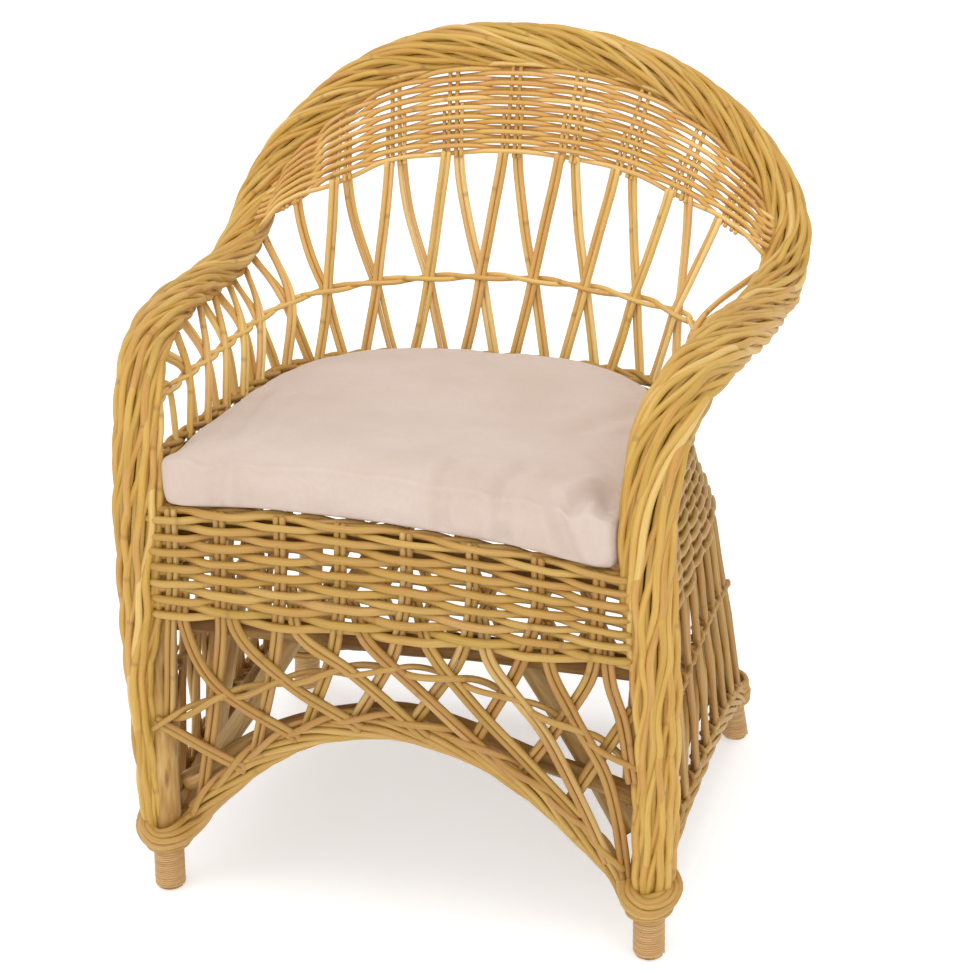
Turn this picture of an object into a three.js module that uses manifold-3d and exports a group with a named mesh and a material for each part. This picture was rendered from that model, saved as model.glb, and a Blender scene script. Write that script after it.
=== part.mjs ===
// Full-size willow armchair: a pole frame with a woven shell and a loose seat cushion.
// Units are millimetres, +Z is up, the open front faces -Y, the origin is at the bottom
// centre of the bounding box, on the floor.
import * as THREE from "three";
import { mergeVertices } from "three/addons/utils/BufferGeometryUtils.js";
import Module from "manifold-3d";

const wasm = await Module();
wasm.setup();
const { Manifold, Mesh: WMesh } = wasm;

// ---------------------------------------------------------------- main sizes
const CENTRE_Y = -17.5; // moves the drawing so that the bounding box is centred on Y
const GAP = 0.5; // clearance kept between separate pieces
const LEG_R = 15;
const BINDING_R = 16.4;
const BINDING_TOP = 48;
const RAIL_R = 13;
const ARCH_R = 10;
const BRACE_R = 11.5;
const HOOP_R = 11;
const APRON_BOTTOM = 334;
const APRON_TOP = 443;
const WALL_TOP = 485; // the side and back aprons stand higher, round the cushion
const SEAT_TOP = 446;
const CUSHION_BOTTOM = 447.2;
const PAIR_W = 11.5; // a pair of lattice rods side by side
const PAIR_T = 5.6;
const LAYER = 3.1; // crossing pairs lie in two layers this far from the middle

// ---------------------------------------------------------------- colours
const WILLOW = 0xd9b169;
const WILLOW_WARM = 0xd8a65c;
const WILLOW_DEEP = 0xc99a52;
const POLE = 0xc2a06a;
const CANE = 0xd6b583;
const FABRIC = 0xe6d9d2;

// ---------------------------------------------------------------- small helpers
const V = (x, y, z) => new THREE.Vector3(x, y, z);
const lerp = (a, b, t) => a + (b - a) * t;
const clamp01 = (t) => Math.min(1, Math.max(0, t));
const curve = (pts, tension = 0.5) =>
  new THREE.CatmullRomCurve3(
    pts.map((p) => V(...p)),
    false,
    "centripetal",
    tension,
  );
const mirrorPts = (pts) => pts.map(([x, y, z]) => [-x, y, z]);
// the hand-built seat leans: its right side sits lower than its left, most at the front,
// and its front edge bows up in the middle
const LEAN = 0.055;
const BOW = 15;
const leanAt = [[300, 0], [337, 0.1], [446, 1], [500, 0.8], [545, 0]];
const bowAt = [[315, 0], [337, 0.25], [425, 1], [520, 1], [550, 0]];
const lean = (v) => {
  const front = 0.2 + 0.8 * clamp01((170 - v[1]) / 370);
  const bow = BOW * Math.max(0, 1 - (v[0] / 240) ** 2) * clamp01((-60 - v[1]) / 180) * table(bowAt, v[2]);
  v[2] += bow - LEAN * v[0] * front * table(leanAt, v[2]);
};
// value of a table [[key, value], ...] at a key
function table(rows, key) {
  if (key <= rows[0][0]) return rows[0][1];
  for (let i = 1; i < rows.length; i++)
    if (key <= rows[i][0])
      return lerp(
        rows[i - 1][1],
        rows[i][1],
        (key - rows[i - 1][0]) / (rows[i][0] - rows[i - 1][0]),
      );
  return rows[rows.length - 1][1];
}

// closed solid from rings of points: every ring has the same count; ends are capped
function loft(rings, closedLoop = false) {
  const n = rings[0].length;
  const pos = [];
  const tri = [];
  rings.forEach((r) => r.forEach((p) => pos.push(p.x, p.y, p.z)));
  const m = rings.length;
  const at = (i, j) => (i % m) * n + (j % n);
  for (let i = 0; i < (closedLoop ? m : m - 1); i++)
    for (let j = 0; j < n; j++)
      tri.push(at(i, j), at(i, j + 1), at(i + 1, j + 1), at(i, j), at(i + 1, j + 1), at(i + 1, j));
  if (!closedLoop)
    for (const [row, flip] of [[0, true], [m - 1, false]]) {
      for (let j = 1; j < n - 1; j++)
        if (flip) tri.push(at(row, 0), at(row, j + 1), at(row, j));
        else tri.push(at(row, 0), at(row, j), at(row, j + 1));
    }
  return solid(pos, tri);
}

// manifold from raw arrays, turned outward if need be
function solid(pos, tri) {
  let s = new Manifold(
    new WMesh({ numProp: 3, vertProperties: new Float32Array(pos), triVerts: new Uint32Array(tri) }),
  );
  if (s.volume() < 0) {
    for (let i = 0; i < tri.length; i += 3) [tri[i + 1], tri[i + 2]] = [tri[i + 2], tri[i + 1]];
    s = new Manifold(
      new WMesh({ numProp: 3, vertProperties: new Float32Array(pos), triVerts: new Uint32Array(tri) }),
    );
  }
  return s;
}

// solid from a three.js geometry
function fromGeometry(g) {
  g.deleteAttribute("normal");
  g.deleteAttribute("uv");
  const m = mergeVertices(g, 1e-4);
  return solid(Array.from(m.getAttribute("position").array), Array.from(m.index.array));
}

// frames along a curve; side(P, T) gives the wished width direction
function stations(c, n, side) {
  const out = [];
  for (let i = 0; i <= n; i++) {
    const u = i / n;
    const P = c.getPointAt(u);
    const T = c.getTangentAt(u).normalize();
    const w = side(P, T, u).clone();
    w.addScaledVector(T, -w.dot(T)).normalize();
    const d = new THREE.Vector3().crossVectors(T, w).normalize();
    out.push({ P, T, w, d, u });
  }
  return out;
}
const sideZ = () => V(0, 0, 1);
const sideX = () => V(1, 0, 0);
const sideY = () => V(0, 1, 0);

// a rod or pole with an elliptical section; a: half width along side, b: half depth
function sweep(c, n, sides, a, b, side, grow = 0, phase = 0) {
  const fa = typeof a === "function" ? a : () => a;
  const fb = typeof b === "function" ? b : () => b;
  return loft(
    stations(c, n, side).map(({ P, w, d, u }) => {
      const ring = [];
      for (let j = 0; j < sides; j++) {
        const th = ((j + phase) / sides) * 2 * Math.PI;
        const k = 1 / Math.cos(Math.PI / sides);
        const g = grow ? grow * k : 0;
        ring.push(
          P.clone()
            .addScaledVector(w, Math.cos(th) * (fa(u) + g))
            .addScaledVector(d, Math.sin(th) * (fb(u) + g)),
        );
      }
      return ring;
    }),
  );
}

// a woven sheet: point(u, v) on the middle surface, thickness t, rows of ripple along v
function sheet(point, nu, nv, thick, ripple = 0, stakes = 0, grow = 0) {
  const P = [];
  for (let i = 0; i <= nu; i++) {
    P.push([]);
    for (let j = 0; j <= nv; j++) P[i].push(point(i / nu, j / nv));
  }
  if (grow) {
    // widen the edges too, so that the grown copy clears the sheet on every side
    for (let i = 0; i <= nu; i++) {
      P[i][0].addScaledVector(P[i][0].clone().sub(P[i][1]).normalize(), grow);
      P[i][nv].addScaledVector(P[i][nv].clone().sub(P[i][nv - 1]).normalize(), grow);
    }
    for (let j = 0; j <= nv; j++) {
      P[0][j].addScaledVector(P[0][j].clone().sub(P[1][j]).normalize(), grow);
      P[nu][j].addScaledVector(P[nu][j].clone().sub(P[nu - 1][j]).normalize(), grow);
    }
  }
  const top = [];
  const bot = [];
  for (let i = 0; i <= nu; i++) {
    top.push([]);
    bot.push([]);
    for (let j = 0; j <= nv; j++) {
      const du = P[Math.min(nu, i + 1)][j].clone().sub(P[Math.max(0, i - 1)][j]);
      const dv = P[i][Math.min(nv, j + 1)].clone().sub(P[i][Math.max(0, j - 1)]);
      const nrm = du.cross(dv).normalize();
      const wave = ripple * ((j % 2 ? 1 : -1) * 0.5 + (stakes ? 0.5 * (((i + (j >> 1)) % 2) * 2 - 1) : 0));
      top[i].push(P[i][j].clone().addScaledVector(nrm, thick / 2 + wave + grow));
      bot[i].push(P[i][j].clone().addScaledVector(nrm, -thick / 2 + wave - grow));
    }
  }
  const pos = [];
  const tri = [];
  const W = nv + 1;
  const base = (nu + 1) * W;
  [top, bot].forEach((g) => g.forEach((row) => row.forEach((p) => pos.push(p.x, p.y, p.z))));
  const T = (i, j) => i * W + j;
  const B = (i, j) => base + i * W + j;
  for (let i = 0; i < nu; i++)
    for (let j = 0; j < nv; j++) {
      tri.push(T(i, j), T(i + 1, j), T(i + 1, j + 1), T(i, j), T(i + 1, j + 1), T(i, j + 1));
      tri.push(B(i, j), B(i + 1, j + 1), B(i + 1, j), B(i, j), B(i, j + 1), B(i + 1, j + 1));
    }
  for (let i = 0; i < nu; i++) {
    tri.push(T(i, 0), B(i, 0), B(i + 1, 0), T(i, 0), B(i + 1, 0), T(i + 1, 0));
    tri.push(T(i, nv), B(i + 1, nv), B(i, nv), T(i, nv), T(i + 1, nv), B(i + 1, nv));
  }
  for (let j = 0; j < nv; j++) {
    tri.push(T(0, j), B(0, j + 1), B(0, j), T(0, j), T(0, j + 1), B(0, j + 1));
    tri.push(T(nu, j), B(nu, j), B(nu, j + 1), T(nu, j), B(nu, j + 1), T(nu, j + 1));
  }
  return solid(pos, tri);
}

// the biggest single body of a solid, with slivers smoothed away
function biggest(s) {
  const parts = s.decompose();
  let best = parts[0];
  for (const p of parts) if (p.volume() > best.volume()) best = p;
  return best;
}
const cut = (s, tools) => (tools.length ? s.subtract(Manifold.union(tools)) : s);

// ---------------------------------------------------------------- reference lines
// right half; x is mirrored for the left half
const FRONT_LEG = [[268, -252, 0], [266, -247, 120], [259, -240, 280], [254, -236, 436]];
const BACK_LEG = [[284, 226, 0], [276, 217, 60], [262, 200, 150], [240, 174, 290], [214, 144, 434]];
// centre line of the braided rim: up the front post, over the arm, round the back
const RIM = [
  [270, -250, 98], [272, -249, 150], [272, -251, 223], [271, -254, 297], [267, -257, 370], [262, -258, 439],
  [260, -250, 502], [265, -228, 556], [279, -178, 591], [296, -95, 604], [310, 12, 601], [319, 125, 596],
  [324, 205, 610], [320, 250, 643], [299, 276, 688], [262, 289, 733], [215, 293, 773], [150, 292, 808], [80, 288, 828], [0, 286, 834],
];
const rimRight = RIM;
const rimLeft = mirrorPts(RIM);
const rimAll = [...rimLeft, ...RIM.slice(0, -1).reverse()];
const rimWidth = [[0, 24], [0.05, 25], [0.12, 29], [0.18, 30], [0.26, 30.5], [0.31, 29], [0.36, 27.5], [0.5, 27]];
const rimTilt = [[480, 0], [560, -60], [600, -110], [618, -80], [650, 20], [690, 120], [733, 190], [773, 260], [834, 354]];
const RIM_DEPTH = 21;
const rimCurve = curve(rimAll);
const rimSide = (P) => V(P.x, 0, table(rimTilt, P.z));
const rimA = (u) => table(rimWidth, u > 0.5 ? 1 - u : u);
const rimLen = rimCurve.getLength();

// plan lines of the woven wall; each is right half from the back centre to the front post
const WALL = {
  444: [[0, 196], [63, 193], [124, 183], [176, 160], [216, 124], [239, 78], [249, 24], [253, -34], [256, -94], [257, -154], [256, -214]],
  487: [[0, 200], [63, 197], [124, 188], [178, 166], [219, 130], [240, 83], [247, 28], [249, -31], [251, -91], [252, -151], [252, -211]],
};
const FITCH = [[0, 218, 576], [63, 215, 574], [125, 207, 569], [184, 189, 563], [227, 152, 559], [252, 100, 553], [261, 44, 549], [263, -16, 547], [266, -76, 546], [267, -136, 545], [265, -200, 543]];
const BAND_BOTTOM = [[0, 238, 718], [69, 234, 716], [139, 228, 703], [206, 216, 681], [262, 203, 654], [284, 200, 640]];

const level = (z) => WALL[z].map(([x, y]) => [x, y, z]);
const full = (half) => [...mirrorPts(half).reverse(), ...half.slice(1)];
const wallLine = { 444: curve(full(level(444))), 487: curve(full(level(487))), fitch: curve(full(FITCH)) };

// ---------------------------------------------------------------- collected pieces
const pieces = [];
const add = (name, s, colour, rough = 0.6) => pieces.push({ name, s, colour, rough });

// ---------------------------------------------------------------- legs and their bindings
const SIDES = [["left", -1], ["right", 1]];
const flip = (pts, sgn) => (sgn < 0 ? mirrorPts(pts) : pts);
const legTools = [];
for (const [row, pts] of [["front", FRONT_LEG], ["back", BACK_LEG]])
  for (const [side, sgn] of SIDES) {
    const c = curve(flip(pts, sgn));
    const top = pts[pts.length - 1][2];
    const floorBlock = fromGeometry(new THREE.BoxGeometry(900, 900, 60).translate(0, 0, -30));
    const roofBlock = fromGeometry(new THREE.BoxGeometry(900, 900, 60).translate(0, 0, top + 24));
    const low = curve(flip([[pts[0][0] * 2 - pts[1][0], pts[0][1] * 2 - pts[1][1], -pts[1][2]], ...pts], sgn));
    const n = row === "front" ? 5 : 7;
    const leg = cut(sweep(low, n, 10, LEG_R, LEG_R, sideX), [floorBlock, roofBlock]);
    add(`${row}_${side}_leg`, biggest(leg), POLE, 0.55);
    legTools.push(sweep(low, n, 10, LEG_R, LEG_R, sideX, GAP));
    // cane binding: a ribbed sleeve round the exposed foot
    const P0 = c.getPointAt(0);
    const dir = c.getPointAt(0.12).sub(P0);
    dir.multiplyScalar(1 / dir.z);
    const rings = [];
    const turns = 3;
    for (let i = 0; i <= turns * 2; i++) {
      const z = 2.5 + (i / (turns * 2)) * (BINDING_TOP - 2.5);
      const r = (i % 2 ? BINDING_R + 1.1 : BINDING_R + 0.3) / 1;
      const ring = [];
      for (let j = 0; j < 14; j++) {
        const th = (j / 14) * 2 * Math.PI;
        ring.push(V(P0.x + dir.x * z + r * Math.cos(th), P0.y + dir.y * z + r * Math.sin(th), z));
      }
      rings.push(ring);
    }
    add(`${row}_${side}_foot_binding`, biggest(cut(loft(rings), [legTools[legTools.length - 1]])), CANE, 0.5);
  }

// ---------------------------------------------------------------- bent hoop inside the rim
const hoopFrom = 0.145;
const hoopCurve = curve(
  Array.from({ length: 33 }, (_, i) => rimCurve.getPointAt(lerp(hoopFrom, 1 - hoopFrom, i / 32)).toArray()),
);
const HOOP_N = 28;
const hoop = sweep(hoopCurve, HOOP_N, 8, HOOP_R, HOOP_R, rimSide);
// the clearance runs a little past both ends of the hoop
const hoopTool = Manifold.union([
  sweep(hoopCurve, HOOP_N, 8, HOOP_R, HOOP_R, rimSide, GAP),
  ...[0, 1].map((u) => fromGeometry(new THREE.SphereGeometry(HOOP_R * 1.25, 12, 8).translate(...hoopCurve.getPointAt(u).toArray()))),
]);
add("arm_and_back_hoop", hoop, POLE, 0.55);

// ---------------------------------------------------------------- braided rim in three lengths
function rimLoft(u0, u1, n, grow) {
  const rings = [];
  for (let i = 0; i <= n; i++) {
    const u = lerp(u0, u1, i / n);
    const P = rimCurve.getPointAt(u);
    const T = rimCurve.getTangentAt(u).normalize();
    const w = rimSide(P).clone();
    w.addScaledVector(T, -w.dot(T)).normalize();
    if (P.x < 0) w.multiplyScalar(1);
    const d = new THREE.Vector3().crossVectors(T, w).normalize();
    const twist = (u * rimLen) / 450;
    const ring = [];
    const sides = 12;
    for (let j = 0; j < sides; j++) {
      const th = (j / sides + twist) * 2 * Math.PI;
      const lobe = j % 2 || grow ? 1 : 0.93;
      ring.push(
        P.clone()
          .addScaledVector(w, Math.cos(th) * (rimA(u) * lobe + grow))
          .addScaledVector(d, Math.sin(th) * (RIM_DEPTH * lobe + grow)),
      );
    }
    rings.push(ring);
  }
  return loft(rings);
}
const rimPiece = (u0, u1, n, tools) => biggest(cut(rimLoft(u0, u1, n, 0), tools));
// ---------------------------------------------------------------- wraps round each ankle
const ankleTools = [];
for (const [row, pts] of [["front", FRONT_LEG], ["back", BACK_LEG]])
  for (const [side, sgn] of SIDES) {
    const c = curve(flip(pts, sgn));
    const mk = (grow) => {
      const rings = [];
      const zs = row === "front" ? [51, 56, 66, 76, 86, 93, 97] : [51, 56, 66, 78, 90, 98, 102];
      const rr = [22, 27, 30, 29, 30, 28, 24];
      zs.forEach((z, i) => {
        const t = z / pts[pts.length - 1][2];
        const P = c.getPoint(0);
        const hi = pts.findIndex((p) => p[2] >= z);
        const a = pts[hi - 1];
        const b = pts[hi];
        const k = (z - a[2]) / (b[2] - a[2]);
        const cx = sgn * lerp(a[0], b[0], k);
        const cy = lerp(a[1], b[1], k);
        const ring = [];
        for (let j = 0; j < 16; j++) {
          const th = (j / 16) * 2 * Math.PI;
          const r = rr[i] + grow;
          ring.push(V(cx + r * Math.cos(th), cy + r * Math.sin(th), z + (i === 0 ? -grow : i === 6 ? grow : 0)));
        }
        rings.push(ring);
      });
      return loft(rings);
    };
    const k = (row === "front" ? 0 : 2) + (sgn < 0 ? 0 : 1);
    add(`${row}_${side}_ankle_wrap`, biggest(cut(mk(0), [legTools[k]])), WILLOW, 0.5);
    ankleTools.push(mk(0.5));
  }

const RIM_SPLIT = 0.345;
const rimGap = 0.4 / rimLen;
const RIM_SPANS = [
  ["left_arm_rim", 0, RIM_SPLIT - rimGap, 18],
  ["back_rim", RIM_SPLIT, 1 - RIM_SPLIT, 16],
  ["right_arm_rim", 1 - RIM_SPLIT + rimGap, 1, 18],
];
for (const [name, u0, u1, n] of RIM_SPANS) add(name, rimPiece(u0, u1, n, [...legTools, hoopTool, ...ankleTools]), WILLOW, 0.5);
const rimTools = RIM_SPANS.map(([, u0, u1, n]) => rimLoft(u0, u1, n, 0.6));

// ---------------------------------------------------------------- seat frame
const poleTools = [...legTools];

const pole = (name, pts, n, r, side, tools, colour = POLE) => {
  const c = curve(pts);
  add(name, biggest(cut(sweep(c, n, 8, r, r, side), tools)), colour, 0.55);
  const t = sweep(c, n, 8, r, r, side, GAP);
  poleTools.push(t);
  return t;
};
const RAIL_Z = 419;
pole("front_seat_rail", [[-256, -238, RAIL_Z], [0, -240, RAIL_Z], [256, -238, RAIL_Z]], 6, RAIL_R, sideZ, [...poleTools, ...rimTools]);
pole("back_seat_rail", [[-214, 146, RAIL_Z], [-150, 165, RAIL_Z], [0, 176, RAIL_Z], [150, 165, RAIL_Z], [214, 146, RAIL_Z]], 8, RAIL_R, sideZ, [...poleTools]);
for (const [side, sgn] of SIDES)
  pole(`${side}_seat_rail`, flip([[245, -236, RAIL_Z], [236, -120, RAIL_Z], [234, 0, RAIL_Z], [226, 80, RAIL_Z], [214, 142, RAIL_Z]], sgn), 7, RAIL_R, sideZ, [...poleTools]);
for (const [row, y] of [["front", -95], ["back", 45]])
  pole(`${row}_seat_bearer`, [[-236, y, RAIL_Z - 2], [0, y, RAIL_Z - 2], [236, y, RAIL_Z - 2]], 2, 10.5, sideZ, [...poleTools]);

// lower rails and bent arch poles under the seat
pole("front_lower_rail", [[-259, -226, 315], [0, -228, 317], [259, -226, 315]], 4, 13, sideZ, [...poleTools]);
pole("back_lower_rail", [[-236, 166, 300], [0, 180, 302], [236, 166, 300]], 4, 13, sideZ, [...poleTools]);
pole("front_arch_pole", [[-250, -226, 118], [-215, -223, 140], [-180, -220, 168], [-140, -218, 192], [-75, -215, 214], [0, -214, 227], [75, -215, 214], [140, -218, 194], [200, -222, 181], [256, -228, 168]], 12, 11, sideY, [...poleTools]);
pole("back_bottom_pole", [[-262, 203, 76], [-150, 206, 90], [0, 208, 95], [150, 206, 90], [262, 203, 76]], 6, ARCH_R, sideY, [...poleTools, ...ankleTools]);
for (const [side, sgn] of SIDES)
  pole(`${side}_bottom_pole`, flip([[260, -222, 80], [259, -165, 106], [259, -90, 122], [260, -10, 127], [262, 70, 120], [265, 140, 102], [270, 196, 80]], sgn), 8, ARCH_R, sideX, [...poleTools, ...ankleTools]);

// diagonal braces
for (const [side, sgn] of SIDES)
  pole(`front_${side}_brace`, flip([[236, -214, 118], [178, -200, 212], [118, -196, 306]], sgn), 3, BRACE_R, sideY, [...poleTools]);
for (const [side, sgn] of SIDES)
  pole(`${side}_side_brace`, flip([[232, -200, 118], [229, -140, 220], [224, -84, 330], [222, -44, 404]], sgn), 4, 8, sideX, [...poleTools]);
for (const [side, sgn] of SIDES)
  pole(`back_${side}_brace`, flip([[240, 178, 118], [178, 166, 205], [118, 164, 288]], sgn), 3, BRACE_R, sideY, [...poleTools]);

// ---------------------------------------------------------------- woven seat deck
{
  const outline = level(444).map(([x, y]) => [x, y]);
  const inset = (x, y) => {
    const r = Math.hypot(x, y + 30);
    return [x * (1 - 14 / r), (y + 30) * (1 - 14 / r) - 30];
  };
  const line = curve(full(outline.map(([x, y]) => [...inset(x, y), 0])));
  // half width of the plate at a given y, from the back centre to the front
  const widths = [];
  for (let i = 60; i >= 0; i--) {
    const e = line.getPointAt(0.5 + i / 120);
    if (e.y > -222) widths.push([e.y, Math.max(e.x, 12)]);
  }
  const yBack = widths[widths.length - 1][0];
  const rowsY = [-226, -200, -155, -110, -65, -20, 25, 70, 110, 140, 162, yBack - 3];
  const deck = sheet(
    (u, v) => {
      const y = rowsY[Math.round(v * (rowsY.length - 1))];
      const h = y < -221 ? 234 : table(widths, y);
      return V(lerp(-h, h, u), y, (433 + SEAT_TOP) / 2);
    },
    10,
    rowsY.length - 1,
    SEAT_TOP - 433,
  );
  add("seat_deck", biggest(cut(deck, [...legTools])), WILLOW_DEEP, 0.65);
}
const deckTool = (() => {
  const s = pieces[pieces.length - 1].s;
  const b = s.boundingBox();
  const k = (b.max[0] + 0.6) / b.max[0];
  return s.scale([k, k, 1]).translate([0, 0, 0]);
})();

// ---------------------------------------------------------------- aprons
const apronRows = 8;
const frontFace = (x, z) => V(x, table([[60, -243], [220, -259], [335, -266], [444, -266]], z) - 4 * (1 - (x / 240) ** 2), z);
const frontApron = (grow) =>
  sheet((u, v) => frontFace(lerp(-236, 236, u), lerp(APRON_BOTTOM, APRON_TOP, v)), 8, apronRows, 8, 2.6, 1, grow);
const bodies = {};
const addWoven = (name, s, tools, colour, rough = 0.55) => add(name, biggest(cut(s, tools)), colour, rough);
const frontApronTools = [...rimTools, ...poleTools];
addWoven("front_apron", frontApron(0), frontApronTools, WILLOW);
const frontApronTool = frontApron(GAP);

// side and back levels, from the front post to the corner, and from the back centre to the corner
const SIDE_LEVELS = [
  [487, [[256, -222], [255, -140], [253, -55], [249, 16], [241, 76], [226, 124]]],
  [444, [[258, -222], [259, -140], [256, -55], [251, 14], [241, 72], [222, 122]]],
  [337, [[264, -226], [268, -145], [270, -60], [270, 20], [266, 95], [254, 164]]],
  [200, [[268, -230], [274, -145], [279, -58], [281, 30], [281, 112], [277, 192]]],
  [56, [[269, -234], [277, -146], [284, -56], [289, 36], [292, 128], [292, 214]]],
];
const BACK_LEVELS = [
  [487, [[-214, 142], [-150, 180], [-76, 197], [0, 201], [76, 197], [150, 180], [214, 142]]],
  [444, [[-210, 140], [-150, 174], [-76, 192], [0, 196], [76, 192], [150, 174], [210, 140]]],
  [337, [[-244, 180], [-165, 200], [-82, 209], [0, 211], [82, 209], [165, 200], [244, 180]]],
  [200, [[-268, 206], [-176, 217], [-88, 222], [0, 223], [88, 222], [176, 217], [268, 206]]],
  [56, [[-284, 232], [-186, 235], [-93, 236], [0, 236], [93, 236], [186, 235], [284, 232]]],
];
function ruled(levels, sgn) {
  const lines = levels.map(([z, pts]) => [z, curve(pts.map(([x, y]) => [x * sgn, y, z]))]);
  return (u, z) => {
    let i = 0;
    while (i < lines.length - 2 && z < lines[i + 1][0]) i++;
    const [za, ca] = lines[i];
    const [zb, cb] = lines[i + 1];
    const k = (z - za) / (zb - za);
    return ca.getPoint(u).lerp(cb.getPoint(u), k);
  };
}
const sideWall = { left: ruled(SIDE_LEVELS, -1), right: ruled(SIDE_LEVELS, 1) };
const backWall = ruled(BACK_LEVELS, 1);
const apronTools = [];
for (const [side] of SIDES) {
  const mk = (grow) => sheet((u, v) => sideWall[side](lerp(0.02, 0.985, u), lerp(APRON_BOTTOM, WALL_TOP, v)), 8, apronRows, 7.5, 2.0, 1, grow);
  addWoven(`${side}_apron`, mk(0), [...rimTools, ...poleTools, deckTool], WILLOW);
  apronTools.push(mk(GAP));
}
{
  const mk = (grow) => sheet((u, v) => backWall(lerp(0.012, 0.988, u), lerp(APRON_BOTTOM, WALL_TOP, v)), 10, apronRows, 7.5, 2.0, 1, grow);
  addWoven("back_apron", mk(0), [...poleTools, deckTool, ...apronTools], WILLOW);
  apronTools.push(mk(GAP));
}

// ---------------------------------------------------------------- bottom borders
const borderTools = [];
function border(name, pts, n, a, b, side, tools) {
  const c = curve(pts);
  const rings = [];
  const len = c.getLength();
  for (const { P, w, d, u } of stations(c, n, side)) {
    const ring = [];
    for (let j = 0; j < 8; j++) {
      const th = (j / 8 + (u * len) / 240) * 2 * Math.PI;
      const lobe = j % 2 ? 1 : 0.86;
      ring.push(P.clone().addScaledVector(w, Math.cos(th) * a * lobe).addScaledVector(d, Math.sin(th) * b * lobe));
    }
    rings.push(ring);
  }
  addWoven(name, loft(rings), tools, WILLOW_WARM, 0.5);
  borderTools.push(sweep(c, n, 6, a * 1.16, b * 1.16, side, GAP));
}
const FRONT_ARCH = [[-238, 79], [-218, 106], [-187, 139], [-150, 175], [-103, 207], [-57, 225], [0, 234], [57, 225], [103, 207], [150, 175], [187, 139], [218, 106], [238, 79]];
border("front_bottom_border", FRONT_ARCH.map(([x, z]) => [x, frontFace(x, z).y + 4, z]), 12, 8, 12, sideY, [...rimTools, ...ankleTools, ...poleTools]);
const sideArch = (u) => 64 + 44 * Math.pow(Math.sin(Math.PI * clamp01(u)), 0.8);
for (const [side] of SIDES)
  border(
    `${side}_bottom_border`,
    Array.from({ length: 13 }, (_, i) => {
      const u = lerp(0.06, 0.94, i / 12);
      return sideWall[side](u, sideArch(u)).toArray();
    }),
    10, 8, 12, sideX, [...rimTools, ...ankleTools, ...poleTools],
  );
const backArch = (u) => 62 + 14 * Math.pow(Math.sin(Math.PI * clamp01(u)), 0.8);
border(
  "back_bottom_border",
  Array.from({ length: 13 }, (_, i) => {
    const u = lerp(0.05, 0.95, i / 12);
    return backWall(u, backArch(u)).toArray();
  }),
  10, 8, 12, sideY, [...ankleTools, ...poleTools],
);

// ---------------------------------------------------------------- lattices
const strip = (pts, n, a, b, side) =>
  sweep(curve(pts.map((p) => (p.isVector3 ? p.toArray() : p))), n, 4, a * Math.SQRT2, b * Math.SQRT2, side, 0, 0.5);
const pair = (pts, side, n = 2, g = 0) => strip(pts, n, PAIR_W / 2 + g, PAIR_T / 2 + g, side);
const row = (pts, n, side = sideZ, g = 0) => strip(pts, n, 4.2 + g, 5 + g, side);

// front skirt: crossing pairs under the apron, held by one twined row
const archZ = (x) => table(FRONT_ARCH, x);
{
  const rods = [];
  const zTop = APRON_BOTTOM + 4;
  // [x, z] points of each pair from the apron down
  const slash = [
    [[-236, 325], [-251, 211]], [[-179, 329], [-221, 127]], [[-117, 329], [-153, 188]], [[-53, 334], [-94, 221]], [[12, 336], [-37, 242]],
    [[79, 334], [27, 250]], [[137, 326], [91, 239]], [[208, 321], [144, 214]], [[236, 262], [196, 190]],
  ];
  const backslash = [
    [[-218, 327], [-192, 265], [-109, 214]], [[-161, 331], [-112, 279], [-46, 241]], [[-93, 336], [-40, 300], [18, 249]], [[-24, 340], [14, 303], [75, 245]],
    [[41, 342], [69, 301], [136, 223]], [[106, 333], [129, 297], [166, 244], [190, 186]], [[169, 326], [192, 275], [225, 204], [236, 130]], [[228, 321], [240, 277], [248, 220]],
    [[-246, 200], [-212, 182], [-176, 166]],
  ];
  // carry a pair up into the apron and down to the border
  const reach = (pts, off) => {
    const out = pts.map((p) => [...p]);
    const a = out[out.length - 2];
    const b = out[out.length - 1];
    const len = Math.hypot(b[0] - a[0], b[1] - a[1]);
    const dx = ((b[0] - a[0]) / len) * 2;
    const dz = ((b[1] - a[1]) / len) * 2;
    for (let i = 0; i < 40 && b[1] > archZ(b[0]) + off && Math.abs(b[0]) < 250; i++) {
      b[0] += dx;
      b[1] += dz;
    }
    if (out[0][1] > 300) out.unshift([out[0][0] + ((out[0][0] - out[1][0]) / (out[0][1] - out[1][1])) * (zTop - out[0][1]), zTop]);
    return out;
  };
  for (const [list, dy] of [[slash, LAYER], [backslash, -LAYER]])
    for (const pts of list) {
      const line = reach(pts, -4).map(([x, z]) => frontFace(x, z).add(V(0, dy, 0)));
      rods.push(pair(line, sideX, line.length > 3 ? 4 : 2));
    }
  const rowPts = [[-250, 212], [-194, 243], [-148, 262], [-70, 291], [10, 306], [90, 299], [146, 280], [200, 255], [250, 224]].map(([x, z]) => frontFace(x, z).toArray());
  rods.push(row(rowPts, 6));
  addWoven("front_skirt_lattice", Manifold.union(rods), [...rimTools, ...ankleTools, ...poleTools, frontApronTool, borderTools[0]], WILLOW_WARM);
}
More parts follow.
